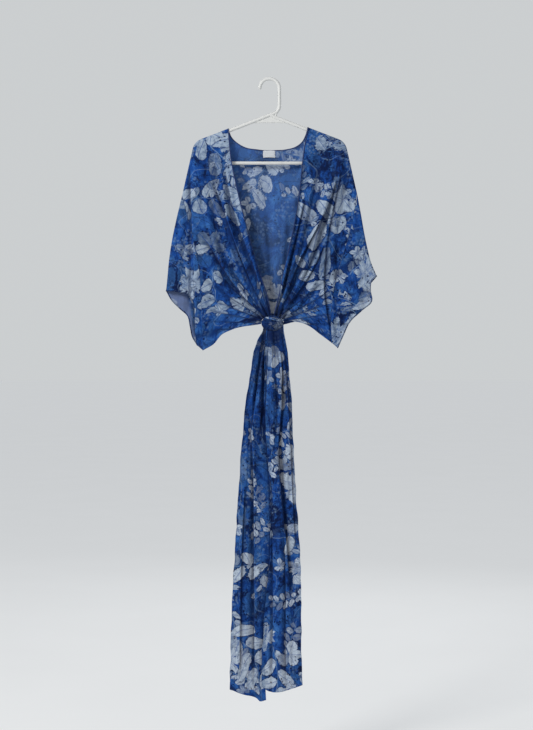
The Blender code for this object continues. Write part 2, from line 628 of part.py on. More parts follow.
def build_binding(fronts, back, cotton):
    """The narrow binding of the front edges and the back neck, one strip from end to end."""
    neck = [j for j in range(back.shape[1]) if HALVES["right"]["neck_x"] < back[0, j, 0] < HALVES["left"]["neck_x"]]
    right = edge_path(fronts["right"][:, 0], fronts["right"][:, 1])
    left = edge_path(fronts["left"][:, 0], fronts["left"][:, 1])
    behind = edge_path(back[0, neck], back[1, neck])
    path = np.vstack([right[1:], behind, left[:0:-1]])
    curve = bpy.data.curves.new("neck_binding", "CURVE")
    curve.dimensions = "3D"
    curve.bevel_depth = BINDING_RADIUS * MM
    curve.bevel_resolution = 1
    curve.use_fill_caps = True
    line = curve.splines.new("POLY")
    line.points.add(len(path) - 1)
    for spot, point in zip(line.points, path):
        spot.co = (*(point * MM), 1.0)
    curve.materials.append(cotton)
    made = bpy.data.objects.new("neck_binding", curve)
    bpy.context.scene.collection.objects.link(made)
    return made


def build_label(back, ribbon):
    """The blank label, lying on the inside of the back below the neck."""
    xs = np.linspace(-LABEL_HALF_WIDTH, LABEL_HALF_WIDTH, 9)
    zs = np.linspace(LABEL_TOP, LABEL_BOTTOM, 6)
    columns = back.shape[1]
    faces = [(k, k + 1, k + 1 + columns, k + columns) for i in range(len(back) - 1)
             for k in range(i * columns, (i + 1) * columns - 1)]
    panel = BVHTree.FromPolygons([tuple(p) for p in back.reshape(-1, 3)], faces)
    clear = Vector((0, -CLOTH / 2 - 0.5 - LABEL_THICKNESS / 2, 0))
    grid = [[panel.ray_cast(Vector((x, -50, z)), Vector((0, 1, 0)))[0] + clear for x in xs] for z in zs]
    return cloth_wall("label", np.array(grid), ribbon, thickness=LABEL_THICKNESS)


def main():
    for old in list(bpy.data.objects):
        bpy.data.objects.remove(old)
    printed = principled("printed_cotton", (0.09, 0.19, 0.48), 0.85)
    bound = principled("navy_binding", (0.02, 0.05, 0.2), 0.8)
    plastic = principled("white_plastic", (0.86, 0.86, 0.84), 0.35)
    ribbon = principled("label_ribbon", (0.8, 0.8, 0.78), 0.7)
    build_hanger(plastic)
    back, back_seams = build_back(printed)
    fronts = {}
    for side, half in HALVES.items():
        fronts[side], front_seam = build_front("front_" + side, half, printed)
        build_sleeve("sleeve_" + side, half, front_seam, back_seams[side], printed)
        build_tie(side, printed)
    build_knot(printed)
    build_binding(fronts, back, bound)
    build_label(back, ribbon)


main()
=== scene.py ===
"""A short kimono jacket with butterfly sleeves, tied in front and hung on a plastic clothes hanger."""
import math

import bmesh
import bpy
import numpy as np
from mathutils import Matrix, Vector, noise


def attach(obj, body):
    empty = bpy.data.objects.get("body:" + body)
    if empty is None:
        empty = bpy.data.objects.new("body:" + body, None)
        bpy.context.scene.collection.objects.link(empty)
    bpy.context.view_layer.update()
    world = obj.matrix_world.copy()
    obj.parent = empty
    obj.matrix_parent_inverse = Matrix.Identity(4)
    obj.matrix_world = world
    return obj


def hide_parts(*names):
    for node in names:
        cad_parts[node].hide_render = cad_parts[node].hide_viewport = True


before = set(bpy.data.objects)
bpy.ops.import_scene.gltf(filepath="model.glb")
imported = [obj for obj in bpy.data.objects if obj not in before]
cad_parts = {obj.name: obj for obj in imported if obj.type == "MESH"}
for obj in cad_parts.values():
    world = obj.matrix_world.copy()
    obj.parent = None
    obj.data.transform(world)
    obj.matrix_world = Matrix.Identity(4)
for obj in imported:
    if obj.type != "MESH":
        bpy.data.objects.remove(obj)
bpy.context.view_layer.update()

MM = 0.001

# ROOM. A pale floor well below the hem of the ties, a soft daylight from the upper left,
# and a camera that stands square in front of the garment, at the middle of its height.
CAMERA_AWAY = 3.2
PICTURE_HEIGHT = 1.942
PICTURE_MIDDLE = (-0.0067, -0.757)

scene = bpy.context.scene
camera = bpy.data.cameras.new("camera")
camera.sensor_width = 36.0
camera.lens = camera.sensor_width * CAMERA_AWAY / PICTURE_HEIGHT
camera_object = bpy.data.objects.new("camera", camera)
camera_object.location = (PICTURE_MIDDLE[0], -CAMERA_AWAY, PICTURE_MIDDLE[1])
camera_object.rotation_euler = (math.radians(90), 0, 0)
scene.collection.objects.link(camera_object)
scene.camera = camera_object
scene.view_settings.view_transform = "Standard"


def lamp(name, place, aim, size, power, colour):
    """A large soft area light."""
    light = bpy.data.lights.new(name, "AREA")
    light.size = size
    light.energy = power
    light.color = colour
    made = bpy.data.objects.new(name, light)
    made.location = place
    made.rotation_euler = (Vector(aim) - Vector(place)).to_track_quat("-Z", "Y").to_euler()
    scene.collection.objects.link(made)


lamp("window", (-2.2, -2.3, 1.1), (0, 0, -0.8), 1.0, 100, (1.0, 0.98, 0.95))
lamp("fill", (3.5, -3.8, 0.0), (0, 0, -0.8), 2.4, 21, (0.93, 0.96, 1.0))
lamp("behind", (0.6, 2.4, 0.4), (0, 0, -0.7), 2.0, 22, (0.97, 0.98, 1.0))
lamp("ceiling", (0, 2.2, 3.4), (0, 2.4, -1.8), 7.0, 14, (0.98, 0.99, 1.0))


def new_mesh(name, points, faces, material):
    """An object from points in millimetres."""
    mesh = bpy.data.meshes.new(name)
    mesh.from_pydata((np.asarray(points) * MM).tolist(), [], faces)
    mesh.materials.append(material)
    made = bpy.data.objects.new(name, mesh)
    scene.collection.objects.link(made)
    return made


def lays(operation, turned=False):
    """A method that lays one math node on two values, turned round or not."""
    def method(first, second):
        pair = (second, first) if turned else (first, second)
        return first.wiring.math(operation, *pair)
    return method


class Value:
    """The output of a shader node. Arithmetic on values lays the math nodes that work it out."""

    __add__ = lays("ADD")
    __sub__ = lays("SUBTRACT")
    __rsub__ = lays("SUBTRACT", turned=True)
    __mul__ = lays("MULTIPLY")
    __truediv__ = lays("DIVIDE")
    __rtruediv__ = lays("DIVIDE", turned=True)
    __pow__ = lays("POWER")
    __lt__ = lays("LESS_THAN")
    __gt__ = lays("GREATER_THAN")

    def __init__(self, wiring, socket):
        self.wiring = wiring
        self.socket = socket

    def __abs__(self):
        return self.wiring.math("ABSOLUTE", self)


class Wiring:
    """Lays shader nodes in a tree. Each call adds its nodes and gives back the output of the last one."""

    def __init__(self, tree):
        self.tree = tree

    def put(self, socket, value):
        if isinstance(value, Value):
            self.tree.links.new(value.socket, socket)
        else:
            socket.default_value = value

    def give(self, sockets, **values):
        for name, value in values.items():
            self.put(sockets[name], value)

    def laid(self, kind, values, **settings):
        """The new node itself, set and wired up."""
        made = self.tree.nodes.new(kind)
        for key, value in settings.items():
            setattr(made, key, value)
        for socket, value in dict(values).items():
            self.put(made.inputs[socket], value)
        return made

    def outputs(self, node):
        return {socket.name: Value(self, socket) for socket in node.outputs}

    def node(self, kind, values=(), out=0, **settings):
        return Value(self, self.laid(kind, values, **settings).outputs[out])

    def placed(self, group, values):
        """One use of a group: its outputs, by name."""
        return self.outputs(self.laid("ShaderNodeGroup", values, node_tree=group))

    def math(self, operation, *values, clamp=False):
        return self.node("ShaderNodeMath", enumerate(values), operation=operation, use_clamp=clamp)

    def most(self, first, *others):
        """The largest of some values."""
        for other in others:
            first = self.math("MAXIMUM", first, other)
        return first

    def vector(self, operation, first, second=None, scale=None):
        values = {0: first}
        if second is not None:
            values[1] = second
        if scale is not None:
            values["Scale"] = scale
        return self.node("ShaderNodeVectorMath", values, operation=operation)

    def moved(self, place, x, y):
        return self.vector("ADD", place, (x, y, 0.0))

    def triple(self, *values):
        return self.node("ShaderNodeCombineXYZ", enumerate(values))

    def parts(self, value, kind="ShaderNodeSeparateXYZ"):
        """The three parts of a vector or a colour."""
        return [Value(self, part) for part in self.laid(kind, {0: value}).outputs]

    def chance(self, *seeds):
        """A random number from 0 to 1 for each set of three seeds."""
        return self.node("ShaderNodeTexWhiteNoise", {"Vector": self.triple(*seeds)}, noise_dimensions="3D")

    def mix(self, share, low, high):
        return self.node("ShaderNodeMix", {0: share, 6: low, 7: high}, out=2, data_type="RGBA")

    def ink(self, colour, mask, strength, ink):
        """The colour with an ink laid over it where the mask is."""
        return self.mix(mask * strength, colour, ink)

    def step(self, value, low, high):
        """0 below low, 1 above high, smooth between them."""
        return self.node("ShaderNodeMapRange", {0: value, 1: low, 2: high}, interpolation_type="SMOOTHSTEP")

    def fall(self, value, low, high):
        """1 below low, 0 above high, smooth between them."""
        return 1.0 - self.step(value, low, high)

    def noise(self, at, size, detail=2.0, roughness=0.5, out=0):
        """Noise whose patches are about this size, in the units of at."""
        return self.node("ShaderNodeTexNoise", {"Vector": at, "Scale": 1 / size, "Detail": detail,
                                                "Roughness": roughness}, out=out)

    def cells(self, at, per_metre, randomness=1.0, **settings):
        """The distance to the nearest of many scattered spots."""
        return self.node("ShaderNodeTexVoronoi", {"Vector": at, "Scale": per_metre, "Randomness": randomness},
                         voronoi_dimensions="2D", **settings)

    def bump(self, strength, distance, height):
        return self.node("ShaderNodeBump", {"Strength": strength, "Distance": distance, "Height": height})


def new_group(name, inputs, outputs):
    """A shader node group with named sockets, as (group, wiring, group input, group output)."""
    group = bpy.data.node_groups.new(name, "ShaderNodeTree")
    for direction, sockets in (("INPUT", inputs), ("OUTPUT", outputs)):
        for socket, kind in sockets.items():
            group.interface.new_socket(socket, in_out=direction, socket_type="NodeSocket" + kind)
    start = group.nodes.new("NodeGroupInput")
    end = group.nodes.new("NodeGroupOutput")
    wiring = Wiring(group)
    return group, wiring, wiring.outputs(start), end.inputs


def new_material(name):
    material = bpy.data.materials.new(name)
    material.use_nodes = True
    return material, Wiring(material.node_tree), material.node_tree.nodes["Principled BSDF"].inputs


world = bpy.data.worlds.new("pale_room")
world.use_nodes = True
wiring = Wiring(world.node_tree)
seen = wiring.node("ShaderNodeLightPath")
sky = world.node_tree.nodes["Background"].inputs
wiring.put(sky["Color"], wiring.mix(seen, (0.26, 0.27, 0.29, 1), (0.60, 0.62, 0.63, 1)))
sky["Strength"].default_value = 1.0
scene.world = world

FLOOR_Z = -1830
FLOOR_REACH = 80000
floor_paint, wiring, shader = new_material("pale_floor")
ripple = wiring.noise(wiring.node("ShaderNodeTexCoord", out="Object"), 0.4, detail=3)
wiring.put(shader["Base Color"], wiring.mix(ripple, (0.32, 0.32, 0.315, 1), (0.36, 0.36, 0.355, 1)))
shader["Roughness"].default_value = 0.9
shader["Emission Color"].default_value = (0.49, 0.505, 0.515, 1)
shader["Emission Strength"].default_value = 1.0
corners = [(x * FLOOR_REACH, y * FLOOR_REACH, FLOOR_Z) for x, y in ((-1, -1), (1, -1), (1, 1), (-1, 1))]
floor = new_mesh("floor", corners, [(0, 1, 2, 3)], floor_paint)

# HANGER. One bent tube of white polypropylene: hook, stem, arms, rounded tips and lower bar, with
# the second arm and a thin web welded in under the apex. The moulding leaves it faintly uneven.
HANGER_MIDDLE = 2.0
HANGER_REACH = 199.5
TUBE_RADIUS = 4.5
ARM_SLOPE = math.radians(21.1)
TIP_RADIUS = 30.0
APEX_Z = -92.5
STEM_X = 27.5
STEM_BEND = 22.0
HOOK_RADIUS = 26.0
WEB_OUTLINE = [(0, 0), (47, -18.1), (38, -21), (0, -20), (-38, -21), (-47, -18.1)]
WEB_THICKNESS = 3.0
WEB_ROUNDING = 0.9
HANGER_COLOUR = (0.62, 0.63, 0.62, 1)
HANGER_RUBBED = (0.54, 0.55, 0.54, 1)

plastic, wiring, shader = new_material("white_polypropylene")
on_hanger = wiring.node("ShaderNodeTexCoord", out="Object")
rubs = wiring.step(wiring.noise(on_hanger, 0.05, detail=4), 0.55, 0.75)
wiring.put(shader["Base Color"], wiring.mix(rubs, HANGER_COLOUR, HANGER_RUBBED))
wiring.put(shader["Roughness"], rubs * 0.15 + 0.5)
shader["Specular IOR Level"].default_value = 0.3
ripple = wiring.noise(on_hanger, 0.02, detail=2)
wiring.put(shader["Normal"], wiring.bump(0.1, 0.0006, ripple))


def arc(centre, radius, start, end, count):
    """Points on an arc, angles in degrees from +X towards +Z."""
    turn = np.radians(np.linspace(start, end, count))
    return np.array(centre) + radius * np.stack([np.cos(turn), np.sin(turn)], axis=1)


def tip_centre():
    end = HANGER_REACH - TIP_RADIUS * (1 - math.sin(ARM_SLOPE))
    end_z = APEX_Z - math.tan(ARM_SLOPE) * end
    return np.array([HANGER_REACH - TIP_RADIUS, end_z - TIP_RADIUS * math.cos(ARM_SLOPE)])


def on_arm(out):
    return (HANGER_MIDDLE + out, APEX_Z - math.tan(ARM_SLOPE) * abs(out))


def round_tube(name, line, radius, sides=24):
    """A tube with domed ends along an (x, z) line in the plane of the hanger."""
    line = np.array([(x, 0.0, z) for x, z in line])
    along = np.gradient(line, axis=0)
    along /= np.linalg.norm(along, axis=1, keepdims=True)
    domes = np.radians((88, 70, 50, 30, 12))
    spots = [line[0] - along[0] * radius * math.sin(a) for a in domes] + [*line]
    spots += [line[-1] + along[-1] * radius * math.sin(a) for a in domes[::-1]]
    along = [along[0]] * len(domes) + [*along] + [along[-1]] * len(domes)
    dome_radii = [radius * math.cos(a) for a in domes]
    radii = dome_radii + [radius] * len(line) + dome_radii[::-1]
    turn = np.arange(sides) * math.tau / sides
    points, faces = [], [list(range(sides))]
    for spot, run, size in zip(spots, along, radii):
        up = np.cross(run, (0, 1, 0))
        points += [spot + size * (math.cos(a) * up + math.sin(a) * np.array((0, 1, 0))) for a in turn]
    for i in range(len(spots) - 1):
        for k in range(sides):
            a, b = i * sides + k, i * sides + (k + 1) % sides
            faces.append([b, a, a + sides, b + sides])
    faces.append(list(range(len(points) - 1, len(points) - sides - 1, -1)))
    made = new_mesh(name, points, faces, plastic)
    made.data.shade_smooth()
    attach(made, "root")
    return made


hook = arc((STEM_X - HOOK_RADIUS, TUBE_RADIUS - HOOK_RADIUS), HOOK_RADIUS, 176, 0, 40)
foot_x = STEM_X - STEM_BEND + STEM_BEND * math.sin(ARM_SLOPE)
foot_z = APEX_Z + math.tan(ARM_SLOPE) * (foot_x - HANGER_MIDDLE)
slope = math.degrees(ARM_SLOPE)
stem_bend = arc((STEM_X - STEM_BEND, foot_z + STEM_BEND * math.cos(ARM_SLOPE)), STEM_BEND, 0, slope - 90, 16)
tip = arc(tip_centre() + (HANGER_MIDDLE, 0), TIP_RADIUS, -90, 90 - slope, 28)
other_tip = tip[::-1] * (-1, 1) + (2 * HANGER_MIDDLE, 0)
hanger = round_tube("hanger_tube", [*hook, *stem_bend, *other_tip, *tip, on_arm(26)], TUBE_RADIUS)
round_tube("hanger_second_arm", [on_arm(40), on_arm(20), on_arm(0)], TUBE_RADIUS * 0.985)
stem_foot = stem_bend[0, 1]
brace = [(STEM_X, stem_foot + 2), (STEM_X - 5, stem_foot - 10), (HANGER_MIDDLE + 14, APEX_Z - 6)]
round_tube("hanger_stem_brace", brace, TUBE_RADIUS * 0.7)
web_faces = (-WEB_THICKNESS / 2, WEB_THICKNESS / 2)
corners = [(HANGER_MIDDLE + x, y, APEX_Z + z) for y in web_faces for x, z in WEB_OUTLINE]
count = len(WEB_OUTLINE)
edges = [[(k + 1) % count, k, count + k, count + (k + 1) % count] for k in range(count)]
both_sides = [list(range(count)), list(range(2 * count - 1, count - 1, -1))]
web = new_mesh("hanger_web", corners, both_sides + edges, plastic)
rounding = bmesh.new()
rounding.from_mesh(web.data)
bmesh.ops.recalc_face_normals(rounding, faces=rounding.faces)
bmesh.ops.bevel(rounding, geom=rounding.edges[:], offset=WEB_ROUNDING * MM, segments=3, affect="EDGES")
rounding.to_mesh(web.data)
rounding.free()
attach(web, "root")
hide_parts("hanger")

# BACK. One panel of sheer printed chiffon, cut from the neck over the shoulders to the hem and
# sewn to the fronts along the shoulders. It hangs from the hanger's arms and is drawn in by the tie.
KNOT = np.array([9.0, -25.0, -647.0])
KNOT_SIZE = np.array([29.0, 14.0, 20.0])
HALVES = {
    "right": {
        "neck_x": -109.0,
        "sleeve_top": [(-231, -305), (-247, -372), (-258, -425), (-266, -478), (-271, -531), (-274, -560)],
        "armhole_front": [(-231, -305), (-219, -350), (-206, -400), (-194, -448), (-185, -500),
                          (-180, -570), (-177, -640), (-175, -690), (-176, -718)],
        "armhole_back": [(-231, -305), (-220, -400), (-206, -520), (-190, -630), (-176, -718)],
        "cuff_front": [(-274, -560), (-242, -563), (-214, -571), (-200, -592), (-197, -638),
                       (-196, -672), (-192, -704)],
        "cuff_back": [(-274, -560), (-259, -586), (-237, -608), (-218, -626), (-211, -654),
                      (-205, -682), (-192, -704)],
        "front_edge": [(5, -627), (-3, -584), (-32, -491), (-61, -385), (-85, -292), (-101, -212)],
        "front_hem": [(-29, -648), (-98, -663), (-125, -676), (-148, -702), (-176, -718)],
        "back_hem": [(9, -633), (-77, -641), (-122, -668), (-147, -697), (-176, -718)],
        "knot_angles": (97.0, 184.0),
    },
    "left": {
        "neck_x": 104.0,
        "sleeve_top": [(234, -300), (245, -358), (253, -404), (261, -443), (271, -483), (287, -521)],
        "armhole_front": [(234, -300), (227, -345), (215, -400), (199, -455), (182, -510),
                          (170, -565), (164, -620), (164, -660), (168, -699)],
        "armhole_back": [(234, -300), (224, -400), (209, -520), (189, -620), (168, -699)],
        "cuff_front": [(287, -521), (273, -534), (270, -558), (273, -587), (245, -614),
                       (215, -643), (198, -678), (183, -712)],
        "cuff_back": [(287, -521), (268, -545), (257, -575), (236, -608), (205, -645),
                      (190, -682), (183, -712)],
        "front_edge": [(13, -627), (24, -584), (37, -518), (56, -438), (72, -358), (82, -292), (90, -212)],
        "front_hem": [(48, -643), (74, -643), (101, -651), (138, -677), (168, -699)],
        "back_hem": [(9, -633), (82, -635), (128, -657), (168, -699)],
        "knot_angles": (83.0, -8.0),
    },
}
BACK_NECK = [(-101, -150), (-82, -168), (-59, -179), (-29, -183.5), (0, -184.5), (43, -183),
             (69, -177), (88, -164), (98, -146)]
# A fold: start, middle and end of its ridge, how far it reaches to the jacket's middle line and away
# from it (at the start, at the end), its height and the share of its length over which it fades.
BACK_FOLDS = [
    ((-30, -640), (-50, -480), (-62, -230), (12, 18), (14, 22), 7.0, 0.5),
    ((5, -640), (4, -480), (-8, -240), (12, 15), (12, 18), 7.5, 0.5),
    ((38, -640), (50, -480), (58, -230), (14, 22), (12, 18), 7.0, 0.5),
    ((-110, -650), (-140, -470), (-178, -215), (18, 26), (14, 20), 8.0, 0.4),
    ((112, -650), (140, -470), (176, -215), (18, 26), (14, 20), 8.0, 0.4),
    ((-200, -210), (-204, -400), (-190, -690), (30, 40), (14, 14), 6.0, 0.0),
    ((202, -205), (206, -400), (190, -680), (30, 40), (14, 14), 6.0, 0.0),
]
OVER_TUBE = TUBE_RADIUS + 2.0
LEAST_DEPTH = 0.3
SLEEVE_LEAN = math.radians(13.3)
BACK_BELLY = 9.0
BELLY_RUN = 130.0
SHOULDER_CORNER = 196.0
BEND_WEIGHT = 130.0
PLEAT_TURN = 10.0
PLEAT_FOLD = 0.8
PLEAT_REACH = 250.0


def lengths_along(line):
    """How far along a polyline each of its points lies."""
    return np.concatenate([[0], np.cumsum(np.linalg.norm(np.diff(line, axis=0), axis=-1))])


def resample(curve, shares, bend_weight=0.0):
    """Points of a fine polyline at the given shares of its length; bends can count as extra length."""
    steps = np.linalg.norm(np.diff(curve, axis=0), axis=1)
    if bend_weight:
        heading = np.unwrap(np.arctan2(np.diff(curve[:, 1]), np.diff(curve[:, 0])))
        steps = steps + bend_weight * np.abs(np.gradient(heading))
    along = np.concatenate([[0], np.cumsum(steps)])
    at = np.asarray(shares) * along[-1]
    return np.stack([np.interp(at, along, curve[:, k]) for k in range(curve.shape[1])], axis=1)


def spline(points, shares):
    """Points along a smooth curve through the given ones, at the given shares of its length."""
    given = np.array(points, float)
    knots = lengths_along(given)
    slopes = np.gradient(given, knots, axis=0)
    fine = np.linspace(0, knots[-1], 40 * (len(given) - 1) + 1)
    span = np.clip(np.searchsorted(knots, fine, side="right") - 1, 0, len(given) - 2)
    h = (knots[span + 1] - knots[span])[:, None]
    t = (fine[:, None] - knots[span][:, None]) / h
    curve = ((2 * t**3 - 3 * t**2 + 1) * given[span] + (t**3 - 2 * t**2 + t) * h * slopes[span]
             + (3 * t**2 - 2 * t**3) * given[span + 1] + (t**3 - t**2) * h * slopes[span + 1])
    return resample(curve, shares)


def shares_along(line):
    along = lengths_along(line)
    return along / along[-1]


def finer(shares, times):
    """The same shares with each step cut into this many."""
    return np.interp(np.arange((len(shares) - 1) * times + 1) / times, np.arange(len(shares)), shares)


def smooth(t):
    t = np.clip(t, 0, 1)
    return t * t * (3 - 2 * t)


def unit(v):
    return v / np.maximum(np.linalg.norm(v, axis=-1, keepdims=True), 1e-9)


def square_to(along, v):
    """The unit vectors nearest to v that stand square to the line's run."""
    return unit(v - (v * along).sum(-1, keepdims=True) * along)


def nearest(points, line):
    """Distance to a polyline, signed by its side, and the share of its length at the nearest spot."""
    a, run = line[:-1], line[1:] - line[:-1]
    length2 = (run**2).sum(1)
    rel = points[:, None, :] - a[None]
    t = np.clip((rel * run[None]).sum(2) / length2, 0, 1)
    gap = rel - t[..., None] * run[None]
    distance = np.linalg.norm(gap, axis=2)
    k = distance.argmin(1)
    rows = np.arange(len(points))
    cross = run[k, 0] * gap[rows, k, 1] - run[k, 1] * gap[rows, k, 0]
    along = lengths_along(line)
    share = (along[k] + t[rows, k] * np.sqrt(length2[k])) / along[-1]
    return distance[rows, k], np.where(cross < 0, -1, 1), share


def relief(points, folds):
    """How far the folds lift the cloth at each (x, z)."""
    total = np.zeros(len(points))
    for start, middle, end, near_reach, far_reach, height, fade in folds:
        line = spline([start, middle, end], np.linspace(0, 1, 18))
        distance, side, share = nearest(points, line)
        middle_side = np.sign(KNOT[0] - line[9, 0]) or 1.0
        near = side * np.sign(line[0, 1] - line[-1, 1]) * middle_side > 0
        reach = np.where(near, near_reach[0] + (near_reach[1] - near_reach[0]) * share,
                         far_reach[0] + (far_reach[1] - far_reach[0]) * share)
        bump = 0.5 + 0.5 * np.cos(np.pi * np.clip(distance / reach, 0, 1))
        total += height * bump * (smooth((1 - share) / fade) if fade else 1.0)
    return total


def shoulder_line(half):
    """The crest of the cloth from the neck over the hanger's arm and tip to the sleeve seam."""
    over_tip = TIP_RADIUS + OVER_TUBE
    straight_end = tip_centre() + over_tip * np.array([math.sin(ARM_SLOPE), math.cos(ARM_SLOPE)])
    neck_out = abs(half["neck_x"] - HANGER_MIDDLE)
    neck = straight_end + (straight_end[0] - neck_out) * np.array([-1, math.tan(ARM_SLOPE)])
    angles = np.linspace(math.pi / 2 - ARM_SLOPE, SLEEVE_LEAN, 10)
    tip = tip_centre() + over_tip * np.stack([np.cos(angles), np.sin(angles)], axis=1)
    line = np.array([neck, neck + (straight_end - neck) * 0.5, *tip])
    line[:, 0] = HANGER_MIDDLE + math.copysign(1, half["neck_x"]) * line[:, 0]
    return np.vstack([line, np.array(half["sleeve_top"][:1], float)])


# The lines where the front and back layers meet: shoulders, sleeve tops and underarms.
MEETING_LINES = []
for half in HALVES.values():
    sleeve_top = spline(half["sleeve_top"], np.linspace(0, 1, 24))
    MEETING_LINES.append(np.vstack([shoulder_line(half), sleeve_top[1:]]))
    MEETING_LINES.append(np.array([half["armhole_front"][-1], half["cuff_front"][-1]], float))


def depth(points, belly, folds, creases):
    """How far one layer of the garment stands off the hanger's plane at each (x, z)."""
    away = np.min([nearest(points, line)[0] for line in MEETING_LINES], axis=0)
    turn = 1 - np.clip(away / OVER_TUBE, 0, 1)
    rounded = OVER_TUBE * np.sqrt(np.clip(1 - turn**2, 0, 1))
    folded = (relief(points, folds) + creases) * smooth((away - 3) / 30)
    return rounded + np.maximum(belly * smooth((away - OVER_TUBE) / BELLY_RUN) + folded, 0)


def drift(first, second, seed):
    """Smooth noise from -1 to 1 at each pair of coordinates."""
    return np.array([noise.noise(Vector((a, b, seed))) for a, b in zip(first, second)])


def gathers(points, seed):
    """Fine pleats that run into the knot from all round, wider and higher farther out."""
    away = np.hypot(points[:, 0] - KNOT[0], points[:, 1] - KNOT[2])
    turn = np.degrees(np.arctan2(points[:, 1] - KNOT[2], points[:, 0] - KNOT[0])) % 360
    turn = turn + 4 * drift(away / 160, turn / 40, seed + 3)
    broad = drift(turn / 5.5, away / 420, seed)
    narrow = drift(turn / 2.3, away / 240, seed + 7)
    height = np.clip(0.012 * away, 0.7, 4.0)
    return height * (1.6 * broad - 1.2 * np.abs(broad) + 0.7 * narrow * smooth(1 - away / 380))


def falls(points, seed):
    """Soft drops that hang straight down in the sleeves and at the sides."""
    out = smooth((np.abs(points[:, 0]) - 165) / 60)
    across = points[:, 0] + 0.12 * points[:, 1] * np.sign(points[:, 0])
    broad = drift(across / 17, points[:, 1] / 210, seed)
    return out * (3.2 * broad + 1.3 * drift(across / 7, points[:, 1] / 120, seed + 1))


def crinkle(points, seed):
    """Slight buckles of a light crisp cloth."""
    x, z = points.T
    return 0.9 * drift(x / 22, z / 30, seed) + 0.35 * drift(x / 8, z / 10, seed)


def knot_pleats(points):
    """The narrow pleats at the knot: which one each (x, z) is in, how far across it is, and its way there
    from the knot."""
    from_knot = points - KNOT[[0, 2]]
    away = np.linalg.norm(from_knot, axis=1)
    turn = np.degrees(np.arctan2(from_knot[:, 1], from_knot[:, 0])) % 360
    turn = np.where(turn > 270, turn - 360, turn)
    number = turn / PLEAT_TURN + 0.35 * drift(turn / 30, away / 300, 21)
    return np.floor(number), number % 1, from_knot


def back_y(points):
    creases = 0.9 * gathers(points, 31) + falls(points, 35) + crinkle(points, 38)
    return np.maximum(depth(points, BACK_BELLY, BACK_FOLDS, creases), LEAST_DEPTH)


def patch(low, high, start, end, across, along):
    """Coons patch over the shares across (low to high) and along (start to end): [along][across]."""
    u, v = np.asarray(across)[None, :, None], np.asarray(along)[:, None, None]
    low, high = low[:, None, :], high[:, None, :]
    start, end = start[None, :, :], end[None, :, :]
    corners = ((1 - u) * (1 - v) * start[:, :1] + u * (1 - v) * start[:, -1:]
               + (1 - u) * v * end[:, :1] + u * v * end[:, -1:])
    return (1 - u) * low + u * high + (1 - v) * start + v * end - corners


def pleat_edges(points, edges):
    """Sharp pleat edges: how far the cloth steps up at each (x, z), and how much painted shade falls beside
    one, on its low side where the cloth lies folded under.
    """
    step, under = np.zeros(len(points)), np.zeros(len(points))
    for raised, height, width, *line in edges:
        distance, side, share = nearest(points, spline(line, np.linspace(0, 1, 30)))
        side = side * raised
        ends = smooth(share / 0.12) * smooth((1 - share) / 0.12)
        step += height * ends * np.tanh(side * distance / 1.3) * np.exp(-distance / width)
        under = np.maximum(under, ends * (side < 0) * np.exp(-((distance / (0.75 * width)) ** 2)))
    return step, under


def seen_flat(grid):
    """The (x, z) of a grid's points, in one row."""
    return grid[..., (0, 2)].reshape(-1, 2)


def hung(flat, height):
    """Rows of (x, z) points with y from a height function, as (x, y, z)."""
    spots = flat.reshape(-1, 2)
    return np.stack([spots[:, 0], height(spots), spots[:, 1]], axis=1).reshape(*flat.shape[:2], 3)


# Colours of the print
NAVY = (0.003, 0.010, 0.050, 1)
COBALT = (0.008, 0.054, 0.25, 1)
CORNFLOWER = (0.040, 0.148, 0.42, 1)
DUSK = (0.038, 0.072, 0.165, 1)
MIST = (0.135, 0.22, 0.36, 1)
PALE = (0.40, 0.49, 0.60, 1)


def scattered(name, sizes, randomness):
    """A node group that scatters one motif over the cloth. Gives the group, its wiring and sockets, each
    motif's random picks, and the place as seen from the motif."""
    group, wiring, given, result = new_group(
        name, {"Place": "Vector", **dict.fromkeys(("Spacing", "Share", *sizes), "Float")},
        dict.fromkeys(("Motif", "Marks", "Tone", "Halo", "Stem"), "Float"))
    at = wiring.vector("SCALE", given["Place"], scale=1.0 / given["Spacing"])
    cell = wiring.outputs(wiring.cells(at, 1.0, randomness).socket.node)
    pick = wiring.parts(cell["Color"], "ShaderNodeSeparateColor")
    local = wiring.vector("SCALE", wiring.vector("SUBTRACT", at, cell["Position"]), scale=given["Spacing"])
    return group, wiring, given, result, pick, local


def around_middle(wiring, local, start):
    """How far out from a motif's middle a place is, and its turn about it."""
    x, y, _ = wiring.parts(local)
    radius = wiring.node("ShaderNodeVectorMath", {0: local}, out=1, operation="LENGTH")
    return radius, start * math.tau + wiring.math("ARCTAN2", y, x)


def blade(wiring, place, out, across, foot, length, width, fullness, torn, kept, edge, slant, ribbing,
          ribs_from, midrib, rim, rim_ink, halo):
    """A leaf or petal that grows out from its foot: its mask, its veins and rim, and the halo round it."""
    share = (out - foot) / length
    swell = wiring.most(share, 0.0) * (1.0 - share) * 4.0
    ragged = (wiring.noise(place, 0.0055) - 0.5) * torn
    inside = wiring.most(swell, 0.0) ** fullness * width - across + ragged
    kept = kept * wiring.step(swell, 0.0, 0.08)
    mask = wiring.step(inside, 0.0, edge) * kept
    ribs = wiring.step(wiring.math("SINE", (out - across * slant) * ribbing), ribs_from, 1.0)
    veins = wiring.most(ribs * 0.3, wiring.fall(across, 0.0005, midrib),
                        wiring.fall(inside, 0.0008, rim) * rim_ink)
    return mask, veins * mask, wiring.step(inside, -halo, -0.0006) * kept


